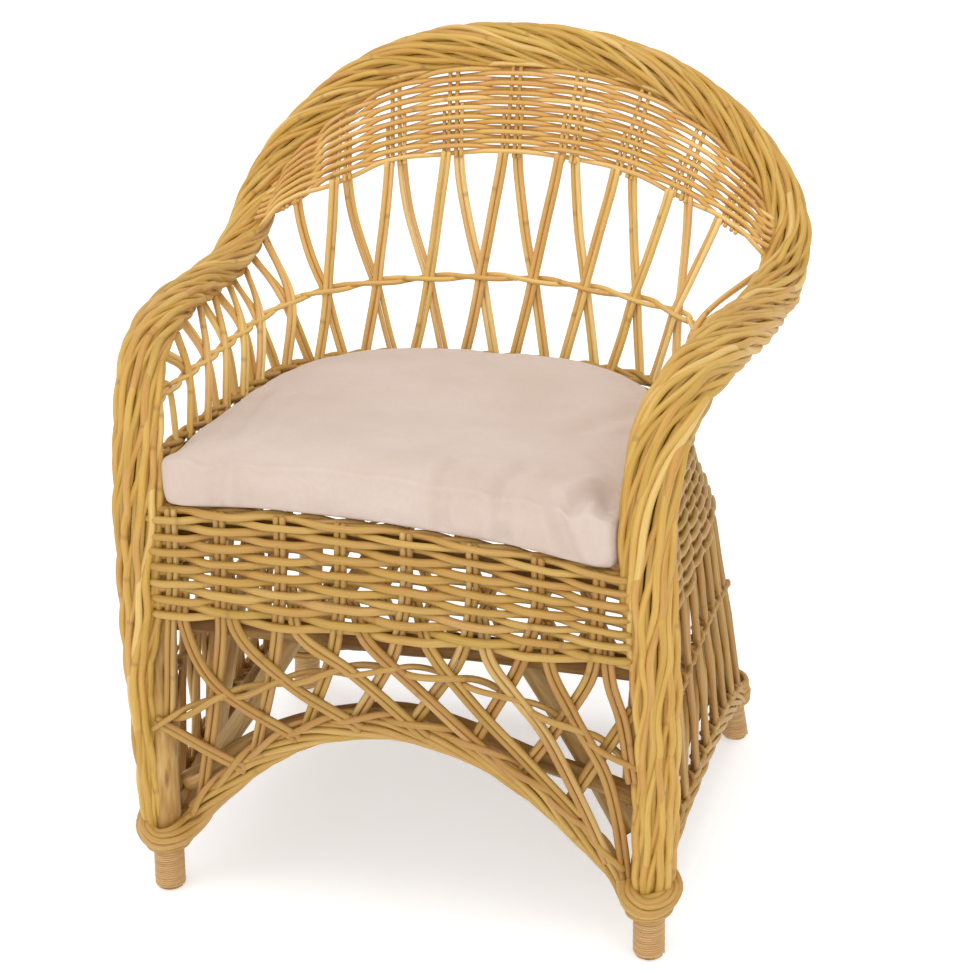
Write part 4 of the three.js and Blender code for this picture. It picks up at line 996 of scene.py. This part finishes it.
# ------------------------------------------------------------------ aprons
APRON_STAKES = [-224, -171, -106, -42, 26, 93, 158, 218]
SLASH = [
    [(-236, 325), (-251, 211)], [(-179, 329), (-221, 127)], [(-117, 329), (-153, 188)], [(-53, 334), (-94, 221)],
    [(12, 336), (-37, 242)], [(79, 334), (27, 250)], [(137, 326), (91, 239)], [(208, 321), (144, 214)],
]  # fmt: skip
BACKSLASH = [
    [(-218, 327), (-192, 265), (-109, 214)], [(-161, 331), (-112, 279), (-46, 241)], [(-93, 336), (-40, 300), (18, 249)],
    [(-24, 340), (14, 303), (75, 245)], [(41, 342), (69, 301), (136, 223)], [(106, 333), (129, 297), (166, 244), (190, 186)],
    [(169, 326), (192, 275), (225, 204), (236, 130)], [(228, 321), (240, 277), (248, 220)],
]  # fmt: skip
LOOSE = [[(250, 286), (236, 262), (196, 190)], [(-264, 208), (-246, 199), (-212, 182), (-176, 166)]]


def build_front_apron():
    B = Bundle("front_apron_weave", 61)
    out = np.array([0.0, -1.0, 0.0])
    S = lambda u, z: front_pt(u * 1000, z)
    zs = np.concatenate([338.5 + 7.95 * np.arange(13), [441.2]])
    weave_rows(B, S, -0.252, 0.247, zs, np.array(APRON_STAKES) / 1000, out, r=4.1, amp=5.2, width=8, jitter=1.3)
    # the edge is finished behind with one more twined row
    path = resample([[x, float(front_y(x, 441)) + 9, 441.0] for x in np.linspace(-242, 242, 13)], 5)
    s = arc(path)
    twine(B, path, out, np.arange(20, s[-1] - 10, 40.0), r=3.2, depth=3.6, height=1.8)
    B.build(MAT_WEAVE_SHADED, replaces=["front_apron"], slot="willow")


def build_wall_aprons():
    zs = 341 + 8.1 * np.arange(18)
    for side, sgn in (("left", -1), ("right", 1)):
        B = Bundle(f"{side}_apron_weave", 62 + sgn)
        out = np.array([sgn, 0.0, 0.0])
        st = np.linspace(0.07, 0.95, 7)
        weave_rows(B, SIDE_WALL[side], 0.0, 1.0, zs, st, out, r=3.9, amp=4.6, width=8, jitter=1.0)
        for u in st:
            stake_group(B, SIDE_WALL[side], u, 332, 486, 2, r=3.0)
        u = np.linspace(0, 1, 15)
        path = resample(SIDE_WALL[side](u, np.full(15, 484.0)), 5)
        s = arc(path)
        twine(B, path, out, np.arange(10, s[-1] - 8, 31.0), r=3.3, depth=5.0, height=2.4)
        B.build(MAT_WEAVE_SHADED, replaces=[f"{side}_apron"], slot="willow")
    B = Bundle("back_apron_weave", 66)
    st = np.linspace(0.05, 0.95, 8)
    weave_rows(B, BACK_WALL, 0.0, 1.0, zs, st, np.array([0.0, 1.0, 0.0]), r=3.9, amp=4.6, width=8, jitter=1.0)
    for u in st:
        stake_group(B, BACK_WALL, u, 332, 486, 2, r=3.0)
    u = np.linspace(0, 1, 21)
    path = resample(BACK_WALL(u, np.full(21, 483.5)), 5)
    s = arc(path)
    twine(B, path, np.array([0.0, 1.0, 0.0]), np.arange(10, s[-1] - 8, 31.0), r=3.3, depth=5.0, height=2.4)
    B.build(MAT_WEAVE_SHADED, replaces=["back_apron"], slot="willow")


build_front_apron()
build_wall_aprons()


# ------------------------------------------------------------------ skirts
def reach(pts, off):
    """Carry the last point on along its own direction down to the border."""
    out = [list(p) for p in pts]
    a, b = np.array(out[-2], float), np.array(out[-1], float)
    d = (b - a) / np.hypot(*(b - a)) * 1.5
    for _ in range(60):
        if b[1] <= tab(FRONT_ARCH, b[0]) + off or abs(b[0]) >= 250:
            break
        b = b + d
    out[-1] = [float(b[0]), float(b[1])]
    return out


def build_front_skirt():
    B = Bundle("front_skirt_rods", 71)
    out = np.array([0.0, -1.0, 0.0])
    for k, pts in enumerate(SLASH):
        x = APRON_STAKES[k]
        p = resample([front_pt(a, z) for a, z in [(x - 1, 443), (x - 3, 384)] + reach(pts, 4)], 6)
        p[:, 1] += 3.0 * smooth((352 - p[:, 2]) / 30)
        pair(B, p, out, r=3.4, sep=1.0)
    for k, pts in enumerate(BACKSLASH):
        x = APRON_STAKES[k]
        p = resample([front_pt(a, z) for a, z in [(x + 5, 374), ] + reach(pts, 4)], 6)
        p[:, 1] += -3.2 + 7.5 * smooth((p[:, 2] - 334) / 24)
        pair(B, p, out, r=3.4, sep=1.0)
    p = resample([front_pt(a, z) + [0, 3, 0] for a, z in reach(LOOSE[0], 4)], 6)
    pair(B, p, out, r=3.4, sep=1.0)
    p = resample([front_pt(a, z) + [0, -3, 0] for a, z in reach(LOOSE[1], 4)], 6)
    pair(B, p, out, r=3.4, sep=1.0)
    row = [[-266, 200], [-252, 208], [-194, 243], [-148, 262], [-70, 291], [10, 306], [90, 299], [146, 280], [200, 255], [252, 220], [264, 212]]
    path = resample([front_pt(x, z) for x, z in row], 6)
    s = arc(path)
    twine(B, path, out, np.interp([-205, -140, -75, -15, 50, 110, 175, 232], path[:, 0], s), r=3.5, depth=7.6, height=3.6)
    # upper row of the bottom border, standing a little apart from the rest
    arch = [[x, z + 15.5] for x, z in FRONT_ARCH]
    path = resample([front_pt(x, z) for x, z in arch], 6)
    s = arc(path)
    twine(B, path, out, np.linspace(20, s[-1] - 20, 10), r=3.6, depth=6.6, height=3.6)
    B.build(MAT_SKIRT_SHADED, replaces=["front_skirt_lattice"], slot="willow")


def fit_z(u):
    return 232 + 32 * np.sin(math.pi * np.clip(u, 0, 1))


def build_skirt(name, wall, arch, count, span, out, seed, replaced, spread=1.35):
    B = Bundle(name, seed)
    ua, ub = span
    step = (ub - ua) / count
    for k in range(count + 1):
        u0 = ua + step * k
        for dr in (-1, 1):
            if (k == 0 and dr < 0) or (k == count and dr > 0):
                continue
            u1 = min(1.0, max(0.0, u0 + dr * step * spread))
            z1 = max(float(arch(u1)) + 2, 88)
            t = np.linspace(0, 1, 36)
            us = u0 + (u1 - u0) * t**1.15
            zs = 345 + (z1 - 345) * t
            p = wall(us, zs) + out * (dr * 3.1)
            pair(B, p, out, r=3.4, sep=1.0)
    u = np.linspace(0.04, 0.96, 60) if name.startswith("back") else np.linspace(0.02, 0.93, 60)
    path = wall(u, fit_z(u))
    s = arc(path)
    twine(B, path, out, np.linspace(s[-1] * 0.07, s[-1] * 0.93, count * 2), r=2.9, depth=7.5, height=3.4)
    u = np.linspace(0.01, 0.99, 60)
    path = wall(u, arch(u) + 15)
    s = arc(path)
    twine(B, path, out, np.linspace(s[-1] * 0.07, s[-1] * 0.93, count * 2), r=3.0, depth=7.0, height=3.2)
    B.build(MAT_SKIRT_SHADED, replaces=[replaced], slot="willow")


build_front_skirt()
build_skirt("left_skirt_rods", SIDE_WALL["left"], side_arch, 8, (0.05, 0.95), np.array([-1.0, 0, 0]), 72, "left_skirt_lattice", 0.9)
build_skirt("right_skirt_rods", SIDE_WALL["right"], side_arch, 8, (0.05, 0.95), np.array([1.0, 0, 0]), 73, "right_skirt_lattice", 0.9)
build_skirt("back_skirt_rods", BACK_WALL, back_arch, 7, (0.05, 0.95), np.array([0, 1.0, 0]), 74, "back_skirt_lattice")

# ------------------------------------------------------------------ upper lattice and band
MID = Line([[x, y, 487] for x, y in full(WALL_487)])
FIT = Line(full(FITCH))
BAND_LINE = Line(full(BAND_BOTTOM))
STEP = [31.5, 63, 63, 61, 54]
CROSS = np.cumsum(STEP[:4])
MARKS = np.array([*CROSS, 272.0, 327.5, 367.0, 416.0, 463.5, 512.0, 557.0])
# arm pairs: distance from the back centre along the twined row and along the foot of the
# lattice, then the share of the rim where they end
ARM_PAIRS = [
    [(274, 235, 0.3281), (327, 288, 0.3022), (363, 342, 0.2807), (410, 392, 0.2624), (459, 441, 0.2348), (508, 497, 0.2005), (556, 546, 0.1732)],
    [(271, 279, 0.342), (328, 340, 0.3159), (371, 382, 0.2932), (422, 430, 0.273), (468, 480, 0.2536), (516, 528, 0.2177)],
]


def u_at(line, s):
    return float(np.clip(0.5 + s / line.length, 0, 1))


def rim_under(s):
    p = FIT.at(u_at(FIT, s))
    q = RIM_LINE.at(np.linspace(0, 1, 481))
    ok = (q[:, 0] * p[0] > 0) & (q[:, 2] >= 560)
    dist = np.abs(q[:, 1] - p[1]) + np.abs(q[:, 0] - p[0]) * 0.1 + np.where(ok, 0, 1e6)
    b = q[int(np.argmin(dist))]
    return b + np.array([-np.sign(p[0]) * 12, 0, -6])


def band_point(u, v):
    a = BAND_LINE.at(u)
    r = RIM_LINE.at(0.372 + (0.628 - 0.372) * np.asarray(u, float))
    side = unit(rim_side(r.reshape(-1, 3))).reshape(r.shape)
    inner = r - side * 12 + np.array([0, -6.0, 0])
    return a + (inner - a) * np.asarray(v, float)[..., None]


def build_lattices():
    LB = {"back": Bundle("back_lattice_rods", 81), "left": Bundle("left_arm_lattice_rods", 82), "right": Bundle("right_arm_lattice_rods", 83)}
    for i in range(len(CROSS)):
        for sg in (-1, 1):
            s = CROSS[i] * sg
            C = FIT.at(u_at(FIT, s))
            out = unit(np.array([C[0], C[1] + 40, 0.0]))
            for dr in (-1, 1):
                half = STEP[0] if (i == 0 and dr * sg < 0) else STEP[i + (1 if dr * sg > 0 else 0)] / 2
                off = dr * half
                lowp = MID.at(u_at(MID, (s + off * 0.62) / (FIT.length / 2) * (MID.length / 2))) + [0, 0, -8]
                st = s - off + dr * 7.2
                to_band = abs(st) * 1.09 <= BAND_LINE.length / 2 - 6
                top = BAND_LINE.at(u_at(BAND_LINE, st * 1.09)) + [0, 0, 3] if to_band else rim_under(st)
                bend = 1.9 if dr > 0 else 1.08
                t = np.linspace(0, 1, 26)[:, None]
                f = 1 - (1 - t) ** bend
                up = np.concatenate([C[:2] + (top[:2] - C[:2]) * f, C[2] + (top[2] - C[2]) * t], 1)
                g = t**1.1
                down = np.concatenate([C[:2] + (lowp[:2] - C[:2]) * g, C[2] + (lowp[2] - C[2]) * t], 1)
                path = np.vstack([down[::-1], up[1:]])
                # soften the meeting at the crossing
                for _ in range(6):
                    path[1:-1] = 0.5 * path[1:-1] + 0.25 * (path[:-2] + path[2:])
                path = path + out * (dr * 3.1)
                pair(LB["back"], path, out, r=3.15, sep=0.98)
    for side, sg in (("left", -1), ("right", 1)):
        for layer, rows in enumerate(ARM_PAIRS):
            for sf, sm, ur in rows:
                C = FIT.at(u_at(FIT, sg * sf))
                low = MID.at(u_at(MID, sg * sm)) + [0, 0, -8]
                R = RIM_LINE.at(ur)
                top = np.array([-sg * (R[0] + 14), R[1], R[2] - 14])
                out = unit(np.array([C[0], C[1] + 40, 0.0]))
                path = resample([low, C, top], 5) + out * (3.1 if layer == 0 else -3.1)
                pair(LB[side], path, out, r=3.35, sep=0.98)
    # twined row through the crossings
    n = int(FIT.length / 5)
    us = np.linspace(0.002, 0.998, n)
    path = FIT.at(us)
    s = us * FIT.length - FIT.length / 2
    outs = unit(np.stack([path[:, 0], path[:, 1] + 40, np.zeros(n)], -1))
    marks = np.concatenate([-MARKS[::-1], MARKS])
    marks = marks[(marks > s[0]) & (marks < s[-1])]
    splitS = (MARKS[3] + MARKS[4]) / 2
    for zone, keep in (("left", s < -splitS), ("back", np.abs(s) <= splitS), ("right", s > splitS)):
        idx = np.where(keep)[0]
        idx = np.arange(max(0, idx[0] - 1), min(n, idx[-1] + 2))
        k0 = int(np.sum(marks < s[idx[0]] - 1e-6))
        ms = marks[(marks > s[idx[0]]) & (marks < s[idx[-1]])] - s[idx[0]]
        twine(LB[zone], path[idx], outs[idx], ms, r=2.95, depth=6.2 if zone == "back" else 4.6, height=1.9 if zone == "back" else 1.3, start=math.pi * (k0 % 2))
    for zone, B in LB.items():
        rep = "back_lattice" if zone == "back" else f"{zone}_arm_lattice"
        B.build(MAT_LATTICE_LIT, replaces=[rep], slot="willow")


build_lattices()


def build_band():
    B = Bundle("back_band_weave", 91)
    nrow = 21
    half = BAND_LINE.length / 2
    groups = [(k * 63.0 * 1.09) / (2 * half) + 0.5 for k in range(-4, 5)]
    groups = [g for g in groups if 0.02 < g < 0.98]
    rows_u = np.linspace(0.0, 1.0, 260)
    low, high = band_point(rows_u, np.zeros(260)), band_point(rows_u, np.ones(260))
    tall = np.linalg.norm(high - low, axis=1)
    for j in range(nrow):
        share = (2.2 + 5.62 * j) / np.maximum(tall, 1e-6)
        ok = np.where(share <= 1.06)[0]
        if len(ok) < 40:
            continue
        u = rows_u[ok[0] : ok[-1] + 1]
        n = len(u)
        v = share[ok[0] : ok[-1] + 1]
        mid = band_point(u, v)
        s = arc(mid)
        ks = np.interp(groups, u, s)
        kk = np.concatenate([[ks[0] - 66], ks, [ks[-1] + 66]])
        sign = np.array([1 if (j + k) % 2 else -1 for k in range(len(kk))], float)
        i = np.clip(np.searchsorted(kk, s) - 1, 0, len(kk) - 2)
        t = (s - kk[i]) / (kk[i + 1] - kk[i])
        t = smooth((t - 0.16) / 0.68)
        wave = sign[i] * (1 - t) + sign[i + 1] * t
        e = 1e-3
        du = band_point(u + e, v) - band_point(u - e, v)
        dv = band_point(u, v + e) - band_point(u, v - e)
        nn = unit(np.cross(du, dv))
        upv = unit(dv)
        path = mid + nn * (wave * 4.6 + drift(s, B.rng, 0.4, (70, 150)))[:, None] + upv * drift(s, B.rng, 0.45, (60, 120, 200))[:, None]
        tt = tangents(path)
        e = 12.0 if j < 9 else max(3.0, 12 - 1.1 * (j - 8))
        path = np.vstack([path[0] - tt[0] * 2 * e, path[0] - tt[0] * e, path, path[-1] + tt[-1] * e, path[-1] + tt[-1] * 2 * e])
        B.rod(path, 2.95 * B.rng.uniform(0.93, 1.07), tone=B.rng.uniform(0.3, 0.8))
    for g in groups:
        for c, (dx, top) in enumerate(((-10.2, 0.45), (-4.4, 1.0), (4.4, 1.0), (10.2, 0.52))):
            v = np.linspace(-0.03, top, 24)
            uu = g + dx / BAND_LINE.length
            p = band_point(np.full(24, uu), v)
            s = arc(p)
            p = p + np.array([1.0, 0, 0]) * drift(s, B.rng, 0.4, (80, 140))[:, None]
            B.rod(p, 2.5 * B.rng.uniform(0.94, 1.06), tone=B.rng.uniform(0.5, 0.95))
    B.build(MAT_BAND, replaces=["back_band"], slot="willow")


build_band()


# ------------------------------------------------------------------ cushion
def build_cushion():
    half = [[0, 167], [64, 164], [126, 148], [166, 122], [194, 93], [213, 55], [222, 10], [227, -50], [230, -120], [233, -190], [235, -245], [235, -263], [229, -271], [110, -273], [0, -273]]
    pts = [[x, y, 0] for x, y in half] + [[-x, y, 0] for x, y in half][::-1][1:-1]
    line = Line(pts, closed=True)
    n = 120
    flat = line.at(np.arange(n) / n)
    c = np.array([0.0, -60.0, 0.0])
    z0 = 447.2
    prof = [[0.972, 0], [0.988, 3], [0.996, 9], [1.0, 18], [1.0, 30], [1.0, 44], [0.998, 49.5], [0.99, 53], [0.975, 54.5], [0.9, 55], [0.8, 55], [0.55, 55], [0.25, 55]]
    verts, faces = [], []
    for k, dz in prof:
        ring = c + (flat - c) * [k, k, 0]
        ring[:, 2] = z0 + dz
        verts.append(ring)
    m = len(prof)
    V = np.vstack(verts)
    for i in range(m - 1):
        for j in range(n):
            a, b = i * n + j, i * n + (j + 1) % n
            faces.append((a, b, b + n, a + n))
    faces.append(tuple(range(n))[::-1])
    faces.append(tuple((m - 1) * n + j for j in range(n)))
    V = np.stack([V[:, 0], V[:, 1] + CENTRE_Y, V[:, 2]], 1) / 1000
    me = bpy.data.meshes.new("seat_cushion_soft")
    me.from_pydata(V.tolist(), [], faces)
    me.update()
    ob = bpy.data.objects.new("seat_cushion_soft", me)
    scene.collection.objects.link(ob)
    bpy.context.view_layer.objects.active = ob
    ob.select_set(True)
    rm = ob.modifiers.new("remesh", "REMESH")
    rm.mode = "VOXEL"
    rm.voxel_size = 0.0045
    bpy.ops.object.modifier_apply(modifier=rm.name)
    N = len(ob.data.vertices)
    start = np.zeros(N * 3, np.float32)
    ob.data.vertices.foreach_get("co", start)
    start = start.reshape(-1, 3).astype(float)
    co = start.copy()
    cl = ob.modifiers.new("cloth", "CLOTH")
    cs = cl.settings
    cs.quality = 6
    cs.mass = 0.35
    cs.tension_stiffness = 18
    cs.compression_stiffness = 12
    cs.shear_stiffness = 6
    cs.bending_stiffness = 0.6
    cs.use_pressure = True
    cs.uniform_pressure_force = 3.6
    cs.effector_weights.gravity = 0.0
    cl.collision_settings.use_collision = False
    cl.collision_settings.use_self_collision = False
    cl.point_cache.frame_start, cl.point_cache.frame_end = 1, 20
    for f in range(1, 21):
        scene.frame_set(f)
    dg = bpy.context.evaluated_depsgraph_get()
    ev = ob.evaluated_get(dg)
    got = np.zeros(N * 3, np.float32)
    ev.data.vertices.foreach_get("co", got)
    co = got.reshape(-1, 3).astype(float)
    ob.modifiers.remove(cl)
    scene.frame_set(1)
    mv = co - start
    L = np.linalg.norm(mv, axis=1, keepdims=True)
    cap = 0.007
    # the cover holds its edges and corners: it swells more easily than it draws in
    rad = start - np.array([0.0, -0.0775, 0.475])
    rad = rad / np.linalg.norm(rad, axis=1, keepdims=True)
    outward = np.sum(mv * rad, axis=1, keepdims=True) / 0.004
    co = start + mv * np.minimum(1, cap / np.maximum(L, 1e-9)) * (0.4 + 0.6 * smooth((outward + 1) / 2))
    ob.data.vertices.foreach_set("co", co.astype(np.float32).ravel())
    ob.data.update()
    sub = ob.modifiers.new("sub", "SUBSURF")
    sub.levels = sub.render_levels = 1
    bpy.ops.object.modifier_apply(modifier=sub.name)
    N = len(ob.data.vertices)
    fine = np.zeros(N * 3, np.float32)
    ob.data.vertices.foreach_get("co", fine)
    co = fine.reshape(-1, 3).astype(float)
    # flat where it rests on the deck, and inside its own space
    x, y, z = co[:, 0] * 1000, co[:, 1] * 1000 - CENTRE_Y, co[:, 2] * 1000
    top = smooth((z - 478) / 18)
    # a crisp edge between the top and the front
    R = 15.0
    a = np.clip(1 - (y + 277.5) / R, 0, 1.2)
    b = np.clip(1 - (506 - z) / R, 0, 1.2)
    q = np.sqrt(a * a + b * b) / np.maximum((a**6 + b**6) ** (1 / 6), 1e-6)
    both = (a > 0) & (b > 0)
    y = np.where(both, -277.5 + R * (1 - a * q), y)
    z = np.where(both, 506 - R * (1 - b * q), z)
    z = z - top * 3.0 * np.exp(-((x / 130) ** 2 + ((y + 50) / 120) ** 2)) + top * 2.5 * smooth((y - 40) / 90)
    # upright tucks in the front face; a positive depth goes in, a negative one stands out
    face = smooth((-y - 238) / 22) * smooth((z - 448) / 8)
    tucks = (
        (-154, -5.0, 8, 0.1), (-170, 3.4, 9, 0.1), (-208, 2.4, 10, 0.0), (-62, 2.0, 15, 0.0), (8, 1.8, 17, 0.0), (48, -2.6, 9, 0.0),
        (62, 4.2, 8, 0.05), (108, -3.0, 9, 0.0), (123, 4.8, 8, 0.0), (168, -3.6, 9, -0.3), (184, 6.0, 9, -0.35), (202, -3.6, 9, -0.3),
    )
    for x0, depth, w, slope in tucks:
        y = y + face * depth * np.exp(-(((x - x0 - (z - 475) * slope) / w) ** 2))
    # puckers where the top meets the front
    for x0, y0, depth, w, h in ((-180, -266, 7.0, 14, 18), (-120, -268, 3.0, 16, 16), (62, -270, 4.4, 13, 18), (123, -270, 5.0, 13, 20), (190, -268, 7.0, 14, 26), (-10, -270, 2.0, 24, 16)):
        z = z - depth * np.exp(-(((x - x0) / w) ** 2 + ((y - y0) / h) ** 2)) * smooth((z - 474) / 18)
    # the corner by the right post is pinched in
    pinch = np.exp(-(((x - 222) / 13) ** 2 + ((y + 226) / 34) ** 2)) * smooth((z - 462) / 20)
    z = z - 16.0 * pinch
    x = x - 6.0 * pinch
    pinch = np.exp(-(((x + 224) / 12) ** 2 + ((y + 232) / 30) ** 2)) * smooth((z - 470) / 20)
    z = z - 4.0 * pinch
    # slack wrinkles over the top, and one running in from the right front
    for ax, ay, bx, by, depth, w in (
        (-176, -215, -208, -20, 4.4, 10), (-150, -205, -178, -50, 3.2, 11), (-120, -228, -140, -120, 2.6, 11),
        (188, -262, 214, -205, 6.0, 9), (120, -262, 132, -200, 3.0, 10), (62, -262, 66, -215, 2.6, 10), (150, -90, 205, 20, 2.0, 14), (-60, 90, 60, 120, 1.6, 16),
    ):
        L2 = (bx - ax) ** 2 + (by - ay) ** 2
        t = ((x - ax) * (bx - ax) + (y - ay) * (by - ay)) / L2
        dist = np.abs((x - ax) * (by - ay) - (y - ay) * (bx - ax)) / math.sqrt(L2)
        env = smooth((t + 0.15) / 0.3) * smooth((1.15 - t) / 0.3)
        z = z - top * env * depth * (np.exp(-((dist / w) ** 2)) - 0.55 * np.exp(-(((dist - 1.7 * w) / w) ** 2)))
    ang = np.arctan2(y + 60, x)
    edge = np.exp(-(((z - 498) / 8) ** 2)) * smooth((np.hypot(x, y + 60) - 165) / 40)
    z = z + edge * (np.sin(ang * 23) * 0.5 + np.sin(ang * 11 + 1) * 0.6)
    z = np.clip(z, 447.1, 510)
    P = lean(np.stack([x, y, z], 1))
    co = np.stack([P[:, 0], P[:, 1] + CENTRE_Y, P[:, 2]], 1) / 1000
    ob.data.vertices.foreach_set("co", co.astype(np.float32).ravel())
    ob.data.update()
    for p in ob.data.polygons:
        p.use_smooth = True
    sm = ob.modifiers.new("smooth", "SMOOTH")
    sm.factor = 0.5
    sm.iterations = 3
    bpy.ops.object.modifier_apply(modifier=sm.name)
    ob.select_set(False)

    M = Mat("cotton_cover")
    geo = M.node("ShaderNodeTexCoord")
    P = geo.outputs["Object"]
    w1 = M.node("ShaderNodeTexWave", wave_type="BANDS", bands_direction="X")
    w2 = M.node("ShaderNodeTexWave", wave_type="BANDS", bands_direction="Y")
    for w in (w1, w2):
        M.link(P, w.inputs["Vector"])
        w.inputs["Scale"].default_value = 420
        w.inputs["Distortion"].default_value = 0.6
        w.inputs["Detail"].default_value = 1.0
    weave = M.math("MULTIPLY", w1.outputs["Fac"], w2.outputs["Fac"])
    big = M.noise(P, 9.0, 3.0, 0.55)
    small = M.noise(P, 160.0, 2.0, 0.5)
    base = M.ramp(big, [(0.35, srgb(195, 176, 163)), (0.5, srgb(199, 181, 169)), (0.68, srgb(203, 186, 176))])
    base = M.mix(M.map(small, 0.4, 0.7, 0.0, 0.12), base, srgb(182, 160, 146))
    base = M.mix(M.map(weave, 0.2, 0.9, 0.1, 0.0), base, srgb(166, 146, 134))
    M.link(base, M.b.inputs["Base Color"])
    M.b.inputs["Roughness"].default_value = 0.82
    M.b.inputs["Specular IOR Level"].default_value = 0.2
    M.b.inputs["Sheen Weight"].default_value = 0.25
    M.b.inputs["Sheen Roughness"].default_value = 0.45
    crease = M.noise(P, 26.0, 4.0, 0.5)
    h = M.math("ADD", M.math("MULTIPLY", weave, 0.25), M.math("MULTIPLY", small, 0.4))
    nrm = M.bump(crease, 0.25, 0.004)
    M.link(M.bump(h, 0.3, 0.0005, nrm), M.b.inputs["Normal"])
    ob.data.materials.clear()
    ob.data.materials.append(M.m)
    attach(ob, "cushion")
    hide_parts("seat_cushion")
    return ob


build_cushion()


# ------------------------------------------------------------------ floor and light
def build_stage():
    me = bpy.data.meshes.new("floor")
    R = 14.0
    me.from_pydata([(-R, -R, 0), (R, -R, 0), (R, R, 0), (-R, R, 0)], [], [(0, 1, 2, 3)])
    ob = bpy.data.objects.new("floor", me)
    ob.location = (0, 0, -0.0006)
    scene.collection.objects.link(ob)
    M = Mat("floor")
    n = M.noise(M.node("ShaderNodeTexCoord").outputs["Object"], 3.0, 2.0)
    M.link(M.ramp(n, [(0.3, (0.77, 0.77, 0.77)), (0.7, (0.79, 0.79, 0.79))]), M.b.inputs["Base Color"])
    M.b.inputs["Emission Color"].default_value = (1.0, 1.0, 1.0, 1)
    M.b.inputs["Emission Strength"].default_value = 0.4
    M.b.inputs["Roughness"].default_value = 0.9
    M.b.inputs["Specular IOR Level"].default_value = 0.1
    me.materials.append(M.m)

    w = bpy.data.worlds.new("studio")
    w.use_nodes = True
    bg = w.node_tree.nodes["Background"]
    bg.inputs[0].default_value = (1.0, 1.0, 1.0, 1)
    bg.inputs[1].default_value = 1.0
    scene.world = w

    def area(name, loc, target, size, power, colour=(1, 1, 1)):
        d = bpy.data.lights.new(name, "AREA")
        d.shape = "SQUARE"
        d.size = size
        d.energy = power
        d.color = colour
        o = bpy.data.objects.new(name, d)
        o.location = loc
        o.rotation_euler = (Vector(target) - Vector(loc)).to_track_quat("-Z", "Y").to_euler()
        scene.collection.objects.link(o)

    area("key", (0.7, -3.2, 1.9), (0, 0, 0.45), 1.5, 20, (0.975, 0.98, 1.0))
    area("fill", (-2.6, -1.6, 2.2), (0, 0, 0.45), 1.8, 9, (1.0, 0.99, 0.98))
    area("top", (0.2, -0.9, 3.6), (0, 0.1, 0.5), 1.8, 26, (1.0, 0.955, 0.9))


build_stage()
scene.view_settings.view_transform = "Standard"
scene.view_settings.look = "None"
scene.view_settings.exposure = 0.0
scene.view_settings.gamma = 1.0
